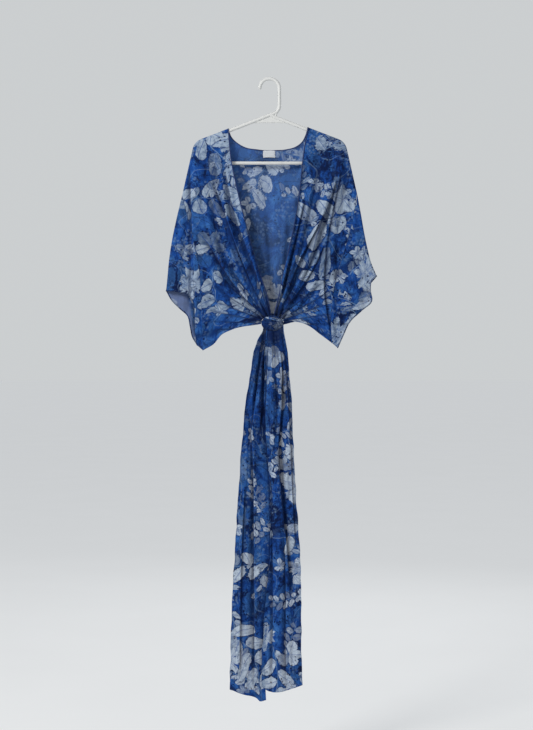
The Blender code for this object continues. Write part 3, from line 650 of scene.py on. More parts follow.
# Sprays of ovate leaves set along a bent stem, scattered over the cloth, each turned its own way.
sprays, wiring, given, result, pick, local = scattered(
    "leaf_sprays", ("Leaf Length", "Leaf Width", "Leaf Step", "Spray Length"), 0.72)
local = wiring.node("ShaderNodeVectorRotate", {"Vector": local, "Angle": pick[0] * math.tau},
                    rotation_type="Z_AXIS")
x, y, _ = wiring.parts(wiring.vector("SCALE", local, scale=pick[1] * 0.55 + 0.72))
y = y - (pick[2] - 0.5) * 11.0 * x * x
side = wiring.math("SIGN", y)
out = abs(y)
lean = out * out * 4.0 + out * 0.36
spot = x + side * given["Leaf Step"] * 0.25 - lean
number = wiring.math("ROUND", spot / given["Leaf Step"])
along = number * given["Leaf Step"]
from_middle = abs(along / given["Spray Length"])
each = wiring.chance(number, side, pick[0])
here = pick[1] < given["Share"]
leaf, veins, halo = blade(
    wiring, given["Place"], out, abs(spot - along), foot=0.001,
    length=given["Leaf Length"] * (each * 0.5 + 0.85 - from_middle * 0.5), width=given["Leaf Width"],
    fullness=0.64, torn=wiring.step(pick[2], 0.5, 0.7) * 0.020 + 0.006,
    kept=here * (from_middle < 1.0) * (each > 0.12), edge=0.0012, slant=1.1, ribbing=820.0, ribs_from=0.72,
    midrib=0.0014, rim=0.0024, rim_ink=0.35, halo=0.0042)
on_stem = (abs(x) < given["Spray Length"] * 1.1) * here
wiring.give(result, Motif=leaf, Marks=veins, Halo=halo, Stem=wiring.fall(out, 0.0004, 0.0012) * on_stem,
            Tone=wiring.math("FRACT", each * 0.6 + pick[0]))

# Loose clusters of round petals, set in a ring with gaps where some have dropped.
clusters, wiring, given, result, pick, local = scattered("petal_clusters", ("Reach", "Width", "Count"), 0.7)
radius, turn = around_middle(wiring, local, pick[0])
sector = math.tau / given["Count"]
number = wiring.math("ROUND", turn / sector)
off = turn - number * sector
each = wiring.chance(wiring.math("FLOORED_MODULO", number, given["Count"]), pick[0], pick[1])
petal, marks, halo = blade(
    wiring, given["Place"], radius * wiring.math("COSINE", off), radius * abs(wiring.math("SINE", off)),
    foot=0.0025, length=given["Reach"] * (each * 0.5 + 0.6), width=given["Width"], fullness=0.6,
    torn=wiring.step(pick[1], 0.2, 0.4) * 0.014 + 0.006, kept=(pick[1] < given["Share"]) * (each > 0.2),
    edge=0.0014, slant=1.3, ribbing=700.0, ribs_from=0.75, midrib=0.0013, rim=0.0026, rim_ink=0.6,
    halo=0.0045)
wiring.give(result, Motif=petal, Marks=marks, Halo=halo, Tone=wiring.math("FRACT", each * 0.5 + pick[2]))

# Ragged open blossoms of seven petals, with dark strokes and dots round the middle.
blossoms, wiring, given, result, pick, local = scattered("blossoms", ("Reach",), 0.75)
radius, turn = around_middle(wiring, local, pick[0])
lobes = abs(wiring.math("COSINE", turn * 3.5)) ** 0.8
ring = wiring.triple(wiring.math("COSINE", turn), wiring.math("SINE", turn), pick[2])
ragged = wiring.noise(ring, 0.26, detail=4, roughness=0.65)
petals = wiring.step(given["Reach"] * (lobes * 0.42 + ragged * 1.5 - 0.3) - radius, 0.0, 0.0015)
share = radius / given["Reach"]
strokes = (wiring.step(wiring.noise(ring, 0.075, detail=1), 0.52, 0.6) * wiring.step(share, 0.06, 0.2)
           * wiring.fall(share, 0.4, 0.75) * 0.8)
dots = wiring.fall(wiring.cells(local, 170.0), 0.22, 0.36) * wiring.fall(share, 0.14, 0.3)
wiring.give(result, Motif=petals * (pick[1] < given["Share"]), Marks=wiring.most(strokes, dots) * petals,
            Tone=pick[2])

# The dyed cloth: a brushed wash of navy to cornflower, ghost leaves, and the light flowers over it.
floral, wiring, given, result = new_group("floral_print", {"Place": "Vector"},
                                          {"Color": "Color", "Light": "Float"})
place = given["Place"]
for size, amount in ((0.075, 0.026), (0.016, 0.0045), (0.005, 0.0012)):
    shift = wiring.vector("SUBTRACT", wiring.noise(place, size, detail=1, out=1), (0.5, 0.5, 0.5))
    place = wiring.vector("ADD", place, wiring.vector("SCALE", shift, scale=amount))
broad = wiring.noise(place, 0.10)
mottled = wiring.noise(place, 0.028, detail=6, roughness=0.68)
brushed = wiring.noise(wiring.vector("MULTIPLY", place, (1.0, 0.3, 1.0)), 0.007, detail=4, roughness=0.65)
level = brushed * 0.4 + mottled * 0.55 + broad * 0.55 - 0.25
dusky = wiring.noise(wiring.moved(place, 4.0, 1.0), 0.035, detail=4, roughness=0.6)
ghost = wiring.placed(sprays, {"Place": wiring.moved(place, 3.31, 1.27), "Spacing": 0.16,
                               "Leaf Length": 0.052, "Leaf Width": 0.019, "Leaf Step": 0.042,
                               "Spray Length": 0.07, "Share": 1.0})
twigs = abs(wiring.noise(place, 0.13, detail=1) - 0.5)
colour = wiring.mix(wiring.step(level, 0.39, 0.55), NAVY, COBALT)
for mask, strength, ink in ((wiring.step(level, 0.54, 0.70), 0.9, CORNFLOWER),
                            (wiring.step(dusky, 0.55, 0.68), 0.5, DUSK),
                            (ghost["Motif"], 0.4, CORNFLOWER), (ghost["Marks"], 0.55, NAVY),
                            (wiring.fall(twigs, 0.0015, 0.005), 0.5, MIST)):
    colour = wiring.ink(colour, mask, strength, ink)
# Brush strokes: thin broken lines of navy and of cornflower that wander through the wash.
for shift, size, strength, ink in (((2.0, 5.0), 0.022, 0.7, NAVY), ((6.0, 2.0), 0.017, 0.6, CORNFLOWER),
                                   ((1.0, 8.0), 0.009, 0.5, NAVY)):
    wandering = abs(wiring.noise(wiring.moved(place, *shift), size, detail=3, roughness=0.6) - 0.5)
    broken = wiring.step(wiring.noise(place, size * 1.6), 0.46, 0.62)
    colour = wiring.ink(colour, wiring.fall(wandering, 0.006, 0.035) * broken, strength, ink)
# Small pale blots and the dark crackle between them, in patches.
patches = wiring.step(wiring.noise(wiring.moved(place, 8.0, 3.0), 0.05), 0.5, 0.58)
blots = wiring.fall(wiring.cells(place, 95.0), 0.2, 0.42)
colour = wiring.ink(colour, blots * patches, 0.45, MIST)
crackle = wiring.fall(wiring.cells(place, 60.0, feature="DISTANCE_TO_EDGE"), 0.02, 0.09)
colour = wiring.ink(colour, crackle * wiring.step(dusky, 0.45, 0.6), 0.4, NAVY)
# The flowers, from the small ones that lie under to the large ones on top.
light = 0.0
tint = wiring.noise(place, 0.012, detail=3, roughness=0.65)
for motif, shift, strength, sizes in (
        (sprays, (7.7, 2.2), 0.85, {"Spacing": 0.12, "Leaf Length": 0.020, "Leaf Width": 0.0078,
                                    "Leaf Step": 0.0175, "Spray Length": 0.042, "Share": 0.65}),
        (sprays, (1.3, 9.1), 0.95, {"Spacing": 0.19, "Leaf Length": 0.042, "Leaf Width": 0.0175,
                                    "Leaf Step": 0.040, "Spray Length": 0.085, "Share": 0.52}),
        (blossoms, (5.2, 4.4), 0.95, {"Spacing": 0.19, "Reach": 0.044, "Share": 0.45}),
        (clusters, (9.4, 7.3), 0.95, {"Spacing": 0.085, "Reach": 0.021, "Width": 0.0078, "Count": 5.0,
                                      "Share": 0.5}),
        (clusters, (6.1, 1.7), 0.97, {"Spacing": 0.16, "Reach": 0.038, "Width": 0.0155, "Count": 5.0,
                                      "Share": 0.52}),
        (sprays, (2.9, 6.6), 0.95, {"Spacing": 0.22, "Leaf Length": 0.038, "Leaf Width": 0.0165,
                                    "Leaf Step": 0.037, "Spray Length": 0.055, "Share": 0.45})):
    made = wiring.placed(motif, {"Place": wiring.moved(place, *shift), **sizes})
    colour = wiring.ink(colour, made["Stem"], 0.8, MIST)
    colour = wiring.ink(colour, made["Halo"], 0.55, NAVY)
    paleness = wiring.step(made["Tone"] * 0.5 + tint * 0.9, 0.3, 0.95)
    thin = wiring.step(made["Tone"], 0.05, 0.35) * 0.4 + (strength - 0.4)
    strong = made["Motif"] * thin * (wiring.step(tint, 0.3, 0.6) * 0.4 + 0.6)
    colour = wiring.mix(strong, colour, wiring.mix(paleness, MIST, PALE))
    colour = wiring.ink(colour, made["Marks"], 0.7, COBALT)
    light = wiring.most(light, strong)
# Dark specks, in patches.
gate = wiring.step(wiring.noise(place, 0.05, detail=1), 0.54, 0.6)
colour = wiring.ink(colour, wiring.fall(wiring.cells(place, 62.0), 0.1, 0.17), gate, NAVY)
wiring.give(result, Color=colour, Light=light)

# The weave: fine crossing threads with slubs, which also roughen the cloth.
weave, wiring, given, result = new_group("chiffon_weave", {"Place": "Vector", "Threads": "Float"},
                                         {"Height": "Float", "Open": "Float"})
threads = {"Vector": given["Place"], "Scale": given["Threads"], "Distortion": 0.8, "Detail": 1.0,
           "Detail Scale": 0.4}
warp, weft = (wiring.node("ShaderNodeTexWave", threads, out=1, bands_direction=way) for way in ("X", "Y"))
slub = wiring.noise(given["Place"], 0.006, detail=3, roughness=0.7)
wiring.give(result, Height=slub * 0.6 + wiring.most(warp, weft), Open=slub)

THREADS = 350.0
DOUBLED_SHADE = 0.22
LIT_THROUGH = (0.13, 0.17, 0.30, 1)
# The wrong side's own paler print, with painted light on top: a lighter blue that stands in for the light the
# sheer cloth lets through where its wrong side lies in shade.
WRONG_SIDE_AND_PAINTED_LIGHT = (0.11, 0.21, 0.45, 1)
WRONG_SIDE_AND_LIGHT_SHARE = 0.26
SHEERNESS = 0.14
chiffon, wiring, shader = new_material("printed_chiffon")
place = wiring.node("ShaderNodeUVMap", uv_map="print")
printed = wiring.placed(floral, {"Place": place})
woven = wiring.placed(weave, {"Place": place, "Threads": THREADS})
# Painted shade: a mesh attribute darkens the print towards navy, and makes it less sheer, where the cloth
# lies double on itself and in the painted shade of folds, pleats and the knot.
doubled = wiring.node("ShaderNodeAttribute", out=2, attribute_name="doubled")
shade = wiring.math("MULTIPLY", doubled, 1.0 - DOUBLED_SHADE, clamp=True)
colour = wiring.mix(shade, printed["Color"], NAVY)
wrong_side = wiring.node("ShaderNodeNewGeometry", out=6)
# The wrong side: a paler print of its own, and painted light where it lies in shade.
colour = wiring.ink(colour, wrong_side, WRONG_SIDE_AND_LIGHT_SHARE, WRONG_SIDE_AND_PAINTED_LIGHT)
# Painted light: where light shines through a single layer from behind, its wrong side is painted a pale lilac
# blue.
single = wrong_side * wiring.math("MULTIPLY", doubled, -1.0, clamp=True)
colour = wiring.mix(single, colour, LIT_THROUGH)
wiring.put(shader["Base Color"], colour)
wiring.put(shader["Roughness"], woven["Open"] * 0.2 + 0.68)
solid = 1.0 - printed["Light"] * SHEERNESS
wiring.put(shader["Alpha"], wiring.math("MAXIMUM", solid, doubled, clamp=True))
shader["Sheen Weight"].default_value = 0.02
shader["Sheen Roughness"].default_value = 0.5
shader["Specular IOR Level"].default_value = 0.06
wiring.put(shader["Normal"], wiring.bump(0.35, 0.0002, woven["Height"]))

FORWARDS = (0.0, -1.0, 0.0)
BACKWARDS = (0.0, 1.0, 0.0)


def cloth(name, grid, outward, place=None, doubled=0.0, ring=False, material=chiffon):
    """A sheet of cloth from a grid of points in mm. Outward is the way its right side looks, for the whole
    sheet or for each point. Place lays out its print, in metres. The double-and-shade value is 1 where the
    cloth lies double on itself and where painted shade stands in for the shade of folds, pleats and the knot,
    darkening the print towards navy. At -1 it is painted light: the light that shines through a single layer,
    painted onto its wrong side."""
    rows, columns, _ = grid.shape
    if place is None:
        place = np.zeros((rows, columns + 1, 2))
    around = columns if ring else columns - 1
    out = np.cross(grid[1:, 1:] - grid[:-1, :-1], grid[1:, :-1] - grid[:-1, 1:])
    turned = (out * np.broadcast_to(outward, grid.shape)[:-1, :-1]).sum() < 0
    faces, corners = [], []
    for i in range(rows - 1):
        for j in range(around):
            loop = [(i, j), (i, j + 1), (i + 1, j + 1), (i + 1, j)]
            if turned:
                loop.reverse()
            faces.append([a * columns + b % columns for a, b in loop])
            corners.extend(loop)
    made = new_mesh(name, grid.reshape(-1, 3), faces, material)
    mesh = made.data
    corners = np.array(corners)
    prints = mesh.uv_layers.new(name="print")
    prints.data.foreach_set("uv", np.ascontiguousarray(place[corners[:, 0], corners[:, 1]]).ravel())
    extra = mesh.attributes.new("doubled", "FLOAT", "POINT")
    extra.data.foreach_set("value", np.broadcast_to(doubled, (rows, columns)).ravel())
    mesh.shade_smooth()
    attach(made, "root")
    return made


def from_middles(rings):
    """The way from the middle of each ring to its points."""
    return rings - rings.mean(axis=1, keepdims=True)


def rings_round(line, wide, high, sides):
    """Rings of points round a line, each an oval that two vectors give."""
    turn = (np.arange(sides) * math.tau / sides)[None, :, None]
    return line[:, None] + np.cos(turn) * wide[:, None] + np.sin(turn) * high[:, None]


def rolled_hem(name, line, place, inward, radius=1.0, dark=0.2):
    """The cloth's edge rolled over and stitched down: a slim roll along a line, set a little inwards."""
    sides = 8
    along = unit(np.gradient(line, axis=0))
    inwards = square_to(along, inward)
    pucker = 1 + 0.18 * drift(np.arange(len(line)) / 1.7, np.zeros(len(line)), 5)[:, None]
    grid = rings_round(line + radius * inwards, radius * 1.45 * pucker * inwards,
                       radius * 0.8 * pucker * np.cross(along, inwards), sides)
    places = place[:, None] + np.linspace(0, 0.006, sides + 1)[None, :, None]
    return cloth(name, grid, from_middles(grid), places, dark, ring=True)


def stitches(name, line, outward, pitch=3.2, length=2.1, thickness=0.45):
    """A row of thread stitches along a line, each lying on the cloth."""
    sides = 6
    count = int(lengths_along(line)[-1] / pitch)
    middles = resample(np.hstack([line, outward]), (np.arange(count) + 0.5) / count)
    run = unit(np.gradient(middles[:, :3], axis=0))
    out = square_to(run, middles[:, 3:])
    points, faces = [], []
    for middle, along, up, side in zip(middles[:, :3], run, out, np.cross(run, out)):
        first = len(points)
        for shift, swell in ((-0.5, 0.35), (-0.3, 1.0), (0.3, 1.0), (0.5, 0.35)):
            for turn in np.arange(sides) * math.tau / sides:
                points.append(middle + along * length * shift
                              + thickness / 2 * swell * (up * math.sin(turn) + side * math.cos(turn)))
        for corner in range(3 * sides):
            a, b = first + corner, first + corner // sides * sides + (corner + 1) % sides
            faces.append([a, b, b + sides, a + sides])
        faces.append([first + k for k in range(sides - 1, -1, -1)])
        faces.append([first + 3 * sides + k for k in range(sides)])
    made = new_mesh(name, points, faces, thread)
    made.data.shade_smooth()
    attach(made, "root")
    return made


thread, wiring, shader = new_material("navy_thread")
spun = wiring.noise(wiring.node("ShaderNodeTexCoord", out="Object"), 0.0006, detail=2)
wiring.put(shader["Base Color"], wiring.mix(spun, (0.012, 0.030, 0.11, 1), (0.035, 0.075, 0.22, 1)))
shader["Roughness"].default_value = 0.6


def build_back():
    side_shares = finer([0, 0.007, 0.022, 0.048, 0.12, 0.3, 0.55, 0.8, 0.95, 1], 4)
    hole_shares = finer([0, 0.015, 0.05, 0.12, 0.22, 0.34, 0.46, 0.58, 0.7, 0.82, 0.92, 1], 8)[1:]
    top_shares = finer([0, 0.02, 0.07, 0.17, 0.3, 0.45, 0.62, 0.8, 0.93, 1], 4)
    neck_shares = finer([0, 0.006, 0.02, 0.045, 0.09, 0.16, 0.25, 0.35, 0.45, 0.55, 0.65, 0.75, 0.84, 0.91,
                         0.955, 0.98, 0.994, 1], 5)[1:-1]
    sides, tops = [], []
    for half in (HALVES["right"], HALVES["left"]):
        line = resample(shoulder_line(half), np.linspace(0, 1, 80))
        tip = int(np.abs(line[:, 0] - HANGER_MIDDLE).searchsorted(SHOULDER_CORNER))
        tops.append(resample(line[tip::-1], top_shares))
        armhole = spline(half["armhole_back"], hole_shares)
        sides.append(np.vstack([resample(line[tip:], side_shares), armhole]))
    down = (shares_along(sides[0]) + shares_along(sides[1])) / 2
    neck = spline([tops[0][-1], *BACK_NECK, tops[1][-1]], neck_shares)
    top = np.vstack([tops[0], neck, tops[1][::-1]])
    hem = spline([*HALVES["right"]["back_hem"][::-1], *HALVES["left"]["back_hem"][1:]], shares_along(top))
    grid = hung(patch(sides[0], sides[1], top, hem, shares_along(top), down), back_y)
    corner = len(side_shares) - 1
    seams = {"right": grid[corner:, 0], "left": grid[corner:, -1]}
    return grid, seams, slice(len(top_shares) - 1, -len(top_shares) + 1)


def bent_away(y, steps):
    """How far each point of rows of depths lies behind the mean of those beside it."""
    behind = y - np.mean([np.roll(y, k, axis=1) for k in (*steps, *(-k for k in steps))], axis=0)
    behind[:, :9] = behind[:, -9:] = 0
    return behind


back_grid, back_seams, neck_columns = build_back()
back_place = back_grid[..., (0, 2)] * MM + (0.31, 0.77)
# Painted shade: the back's print darkens where the cloth bends away from the cloth beside it, in its folds.
turned_away = np.abs(bent_away(back_grid[..., 1], (3, 5, 8)))
back = cloth("back_panel", back_grid, BACKWARDS, back_place, 0.3 * smooth(turned_away / 3.0))
back_hem = rolled_hem("back_hem", back_grid[-1], back_place[-1], back_grid[-4] - back_grid[-1])
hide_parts("back")

# FRONTS. Two panels of the same chiffon, cut long in front so that their lower corners run on into
# the ties. Drawn together in the knot, each fans out in pleats from it to the shoulder and armhole.
FRONT_FOLDS = [
    ((2, -625), (-55, -430), (-104, -160), (5, 12), (6, 15), 8.0, 0.25),
    ((-8, -632), (-92, -440), (-140, -190), (6, 16), (5, 13), 12.0, 0.3),
    ((-14, -638), (-128, -480), (-186, -215), (6, 24), (5, 15), 11.0, 0.35),
    ((-18, -643), (-110, -560), (-190, -430), (5, 34), (5, 22), 9.0, 0.5),
    ((-21, -648), (-95, -640), (-165, -640), (4, 16), (4, 26), 5.0, 0.4),
    ((-203, -200), (-203, -400), (-200, -700), (40, 66), (10, 8), 9.0, 0.0),
    ((15, -625), (44, -500), (92, -170), (5, 12), (6, 15), 8.0, 0.25),
    ((24, -632), (78, -440), (128, -200), (6, 16), (5, 13), 12.0, 0.3),
    ((32, -638), (104, -480), (178, -215), (6, 26), (5, 14), 13.0, 0.3),
    ((37, -643), (100, -570), (166, -420), (5, 30), (5, 20), 9.0, 0.5),
    ((40, -646), (92, -630), (150, -640), (4, 14), (4, 24), 5.0, 0.4),
    ((203, -195), (172, -400), (168, -700), (34, 50), (14, 14), 8.0, 0.0),
    ((226, -290), (232, -450), (240, -600), (12, 22), (12, 20), 5.0, 0.3),
    ((-226, -320), (-238, -450), (-246, -575), (12, 16), (12, 16), 4.5, 0.3),
]
# A pleat edge: which side of its line stands up (1 is the left side on the way down), by how much,
# how wide the step fades out, and the line.
# The low side beside each edge also gets painted shade, about as wide as the step fades out.
FRONT_PLEATS = [
    (1, 6.5, 12.0, (-117, -225), (-104, -305), (-69, -425), (-35, -518), (-8, -598)),
    (1, 5.5, 16.0, (-149, -260), (-125, -332), (-98, -411), (-59, -510), (-19, -598)),
    (1, 4.5, 10.0, (-170, -420), (-135, -480), (-85, -555), (-30, -618)),
    (1, 5.5, 14.0, (-210, -204), (-207, -330), (-199, -500), (-194, -700)),
    (-1, 6.0, 12.0, (98, -305), (74, -404), (53, -483), (29, -584)),
    (-1, 6.5, 16.0, (184, -250), (157, -332), (122, -404), (80, -483), (40, -584)),
    (-1, 4.5, 11.0, (150, -430), (118, -500), (80, -560), (44, -610)),
    (-1, 4.5, 12.0, (197, -212), (178, -305), (154, -425), (146, -558), (165, -691)),
]
FRONT_BELLY = 10.0
KNOT_PULL = 110.0
KNOT_CLEAR = 1.0
FAN_BY_LENGTH = 0.6
PLEAT_HIDES = 22.0
PLEAT_HEIGHT = 3.2


def front_y(points):
    from_knot = np.hypot(points[:, 0] - KNOT[0], points[:, 1] - KNOT[2])
    pull = smooth(1 - (from_knot - KNOT_SIZE[0]) / KNOT_PULL)
    pleats = gathers(points, 11)
    creases = pleats + falls(points, 15) + crinkle(points, 18) + pleat_edges(points, FRONT_PLEATS)[0]
    lying = depth(points, FRONT_BELLY, FRONT_FOLDS, creases)
    across = knot_pleats(points)[1]
    rise = across / PLEAT_FOLD * (1 - smooth((across - PLEAT_FOLD) / (1 - PLEAT_FOLD)))
    pleats += PLEAT_HEIGHT * (rise - 0.5) * smooth((1 - from_knot / PLEAT_REACH) / 0.8)
    gathered = -KNOT[1] - 3 + 0.45 * relief(points, FRONT_FOLDS) + pleats
    return -np.maximum(lying * (1 - pull) + gathered * pull, LEAST_DEPTH)


def on_knot(angle):
    """Where a line at this angle, in degrees from +X, meets the clearance about the knot."""
    turn = math.radians(angle)
    wide, _, high = KNOT_SIZE + KNOT_CLEAR
    return (KNOT[0] + wide * math.cos(turn), KNOT[2] + high * math.sin(turn))


def shade_in_hollows(y):
    """Painted shade in the low places between folds on rows of depths: 0 on the ridges, 0.75 in the deepest.
    """
    return smooth(bent_away(y, (3, 6, 9)) / 4.0) * 0.75


def painted_fold_shade(grid, edges, knot_shade=50.0):
    """Painted shade at each point, deeper where the cloth lies folded double: beside pleat edges, in the low
    places between folds, on the inner faces of the knot's pleats and round the knot.
    """
    y = grid[..., 1]
    beside = pleat_edges(seen_flat(grid), edges)[1].reshape(y.shape)
    away = np.hypot(grid[..., 0] - KNOT[0], (grid[..., 2] - KNOT[2]) * 0.7)
    across = knot_pleats(seen_flat(grid))[1].reshape(y.shape)
    # Painted shade on the inner faces of the pleats at the knot, and all round the knot.
    inner = smooth((across - PLEAT_FOLD + 0.12) / 0.2) * smooth((1 - away / PLEAT_REACH) / 0.7)
    return np.maximum.reduce([shade_in_hollows(y), beside, 0.9 * inner, 1.15 * smooth(1 - (away - 24) / knot_shade)])


def build_front(half):
    shoulder_shares = finer([0, 0.045, 0.1, 0.16, 0.225, 0.29, 0.355, 0.43, 0.5, 0.57, 0.64, 0.71, 0.79, 0.87,
                             0.94, 0.98, 0.995, 1], 5)
    hole_shares = finer([0, 0.003, 0.01, 0.025, 0.055, 0.1, 0.15, 0.2, 0.25, 0.305, 0.36, 0.42, 0.48, 0.54,
                         0.6, 0.66, 0.72, 0.78, 0.84, 0.9, 0.955, 0.985, 1], 5)[1:]
    ray_shares = finer([0, 0.05, 0.11, 0.18, 0.26, 0.35, 0.45, 0.56, 0.67, 0.78, 0.87, 0.935, 0.97, 0.988,
                        0.9946, 0.9983, 1], 8)
    fine = resample(shoulder_line(half), np.linspace(0, 1, 200))
    shoulder = resample(fine, shoulder_shares, BEND_WEIGHT)
    outer = np.vstack([shoulder, spline(half["armhole_front"], hole_shares)])
    shares = FAN_BY_LENGTH * shares_along(outer) + (1 - FAN_BY_LENGTH) * np.linspace(0, 1, len(outer))
    first, last = half["knot_angles"]
    inner = np.array([on_knot(first + (last - first) * share) for share in shares])
    edge = spline([inner[0], *half["front_edge"][1:], outer[0]], ray_shares)
    hem = spline([inner[-1], *half["front_hem"][1:-1], outer[-1]], ray_shares)
    grid = hung(patch(edge, hem, inner, outer, shares, ray_shares), front_y)
    flat = seen_flat(grid)
    pleat, across, from_knot = knot_pleats(flat)
    away = np.linalg.norm(from_knot, axis=1)
    stairs = pleat + smooth((across - PLEAT_FOLD) / (1 - PLEAT_FOLD)) - (first + last) / 2 / PLEAT_TURN
    sideways = np.stack([-from_knot[:, 1], from_knot[:, 0]], axis=1) / away[:, None]
    hidden = PLEAT_HIDES * smooth(1 - away / PLEAT_REACH) * stairs
    place = (flat + sideways * hidden[:, None]).reshape(*grid.shape[:2], 2) * MM
    return grid, place, grid[-1, len(shoulder) - 1:]


front_seams, front_edges = {}, {}
for number, (side, half) in enumerate(HALVES.items()):
    grid, place, front_seams[side] = build_front(half)
    place = place + (1.9 + 1.3 * number, 0.4)
    # The fronts' print gets painted shade in their folds, beside their pleat edges and round the knot.
    front = cloth(f"front_{side}_panel", grid, FORWARDS, place, painted_fold_shade(grid, FRONT_PLEATS))
    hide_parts("front_" + side)
    front_edges[side] = (grid[:, 0], grid[:, 1])
    front_hem = rolled_hem(f"front_{side}_hem", grid[:, -1], place[:, -1], grid[:, -4] - grid[:, -1],
                           radius=0.8, dark=0.1)

# SLEEVES. Wide butterfly sleeves of the chiffon, folded along the top and sewn into the armhole,
# open at a slanting cuff with a rolled hem. Only a short seam closes them under the arm.
SEAM_GAP = 0.7
CUFF_HEM = 2.6


def build_sleeve(half, front_seam, back_seam):
    stations = np.linspace(0, 1, 61)
    top = spline(half["sleeve_top"], stations)
    layers = []
    for side, height, seam in (("front", front_y, front_seam), ("back", back_y, back_seam)):
        armhole = seam[:, (0, 2)]
        shares = shares_along(armhole)
        cuff = spline(half["cuff_" + side], shares)
        under = armhole[-1] + (cuff[-1] - armhole[-1]) * stations[:, None]
        layer = hung(patch(top, under, armhole, cuff, shares, stations), height)
        layer[:, (0, -1), 1] = 0
        run = unit(np.gradient(armhole, axis=0))
        square = np.stack([run[:, 1], np.zeros(len(run)), -run[:, 0]], axis=1)
        layer[0] += SEAM_GAP * square * np.sign(square[:, :1] * np.sign(armhole[0, 0]))
        layers.append(layer)
    layers[1][:, (0, -1)] = layers[0][:, (0, -1)]
    ring = np.concatenate([layers[0], layers[1][:, -2:0:-1]], axis=1)
    place = ring[..., (0, 2)].copy()
    behind = slice(layers[0].shape[1], None)
    fold_x = np.interp(-place[:, behind, 1], -ring[:, 0, 2], ring[:, 0, 0])
    place[:, behind, 0] = 2 * fold_x - place[:, behind, 0]
    place = np.concatenate([place, place[:, :1]], axis=1)
    return ring, place * MM


for number, (side, half) in enumerate(HALVES.items()):
    ring, place = build_sleeve(half, front_seams[side], back_seams[side])
    place = place + (5.3 + 1.7 * number, 2.6)
    front_columns = len(front_seams[side])
    # Painted shade in the low places of the front layer, and painted light on the lower back layer towards
    # the cuff, where light shining through one layer is painted onto its wrong side.
    shaded = np.zeros(ring.shape[:2])
    shaded[:, :front_columns] = shade_in_hollows(ring[:, :front_columns, 1])
    shaded[:, front_columns:] = -0.75 * smooth((np.linspace(0, 1, len(ring)) - 0.45) / 0.3)[:, None]
    sleeve = cloth(f"sleeve_{side}_panel", ring, np.sign(from_middles(ring)) * BACKWARDS, place, shaded,
                   ring=True)
    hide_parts("sleeve_" + side)
    closed = np.concatenate([ring[-1], ring[-1, :1]])
    inward = np.concatenate([ring[-3], ring[-3, :1]]) - closed
    cuff = rolled_hem(f"sleeve_{side}_cuff", closed, place[-1], inward, dark=0.75)
    outside = np.sign(closed - closed.mean(axis=0)) * (0.1, 1, 0)
    stitch_line = closed + CUFF_HEM * unit(inward) + 0.25 * outside
    cuff_stitches = stitches(f"sleeve_{side}_cuff_stitches", stitch_line, outside)

# KNOT. The two tie ends drawn over each other in front: the pleats of both fronts run into it, one
# tie is wrapped across it, and a single turn of cloth crosses over the top.
KNOT_SWELL = 0.9


def build_knot_core():
    rings, sides = 60, 200
    grid = np.zeros((rings, sides, 3))
    for i, lean in enumerate(np.linspace(0.04, math.pi - 0.04, rings)):
        turn = np.arange(sides) * math.tau / sides
        round_, ahead = math.sin(lean), -math.cos(lean)
        side = np.stack([round_ * np.cos(turn), np.full(sides, ahead), round_ * np.sin(turn)], axis=1)
        pleats = 0.5 - 0.5 * np.cos(21 * side[:, 0] + 3.5 * side[:, 2] + 1.5 * np.sin(5 * side[:, 2]))
        reach = 1 - 0.14 * pleats * abs(ahead) ** 0.5 - 0.10 * max(-ahead, 0) ** 3
        grid[i] = KNOT + side * (KNOT_SIZE + KNOT_SWELL) * reach[:, None]
    return grid


def wrapped_strand(path, widths, thickness, pleats, sides=28):
    """A gathered band of cloth: a flattened tube along a path with pleats running its length."""
    steps = np.linspace(0, 1, 90)
    columns = [spline([*enumerate(column)], steps)[:, 1] for column in zip(*path)]
    centre = np.stack(columns, axis=1)
    width = np.interp(steps, np.linspace(0, 1, len(widths)), widths)
    along = unit(np.gradient(centre, axis=0))
    out = square_to(along, unit(centre - KNOT))
    turn = np.arange(sides) * math.tau / sides
    ridge = 1 + 0.28 * np.cos(pleats * turn[None] + 2.2 * np.sin(5 * steps)[:, None])
    flat = np.cos(turn)[None] * width[:, None] * (0.9 + 0.1 * ridge)
    high = np.sin(turn)[None] * thickness * ridge
    return centre[:, None] + flat[..., None] * np.cross(along, out)[:, None] + high[..., None] * out[:, None]


def plain_place(grid, wide, long, corner):
    """The print laid straight over a rolled piece, from one corner."""
    rows, columns = grid.shape[:2]
    across, down = np.meshgrid(np.linspace(0, wide, columns + 1), np.linspace(0, long, rows))
    return np.stack([across, down], axis=2) + corner


# The knot's print is darkened towards navy: deeper colour for its layers of cloth, and painted shade deep in
# the knot.
core_grid = build_knot_core()
core = cloth("knot_bundle", core_grid, core_grid - KNOT, plain_place(core_grid, 0.16, 0.07, (8.1, 3.3)), 0.9,
             ring=True)
# dark: how far a turn's print is darkened towards navy, for lying double and as painted shade.
STRANDS = [
    {"path": [(-8, -29, -632), (0, -37, -634), (12, -40, -636.5), (24, -38.5, -638.5), (33, -32, -639),
              (39, -23, -638)],
     "widths": (2.0, 3.6, 4.6, 4.6, 4.2, 3.0), "thickness": 2.0, "pleats": 3, "dark": 0.0,
     "cut": (0.011, 0.060)},
    {"path": [(-19, -23, -646), (-11, -34, -648), (5, -39, -649), (21, -38.5, -648.5), (33, -31, -647),
              (39, -22, -646)],
     "widths": (2.4, 5.5, 6.5, 6.5, 6.0, 2.4), "thickness": 2.2, "pleats": 4, "dark": 1.0,
     "cut": (0.014, 0.070)},
]
for number, made in enumerate(STRANDS):
    strand_grid = wrapped_strand(made["path"], made["widths"], made["thickness"], made["pleats"])
    strand = cloth(f"knot_turn_{number + 1}", strand_grid, from_middles(strand_grid),
                   plain_place(strand_grid, 0.07, 0.085, (3.7 + number, 8.2)), made["dark"], ring=True)
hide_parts("knot")

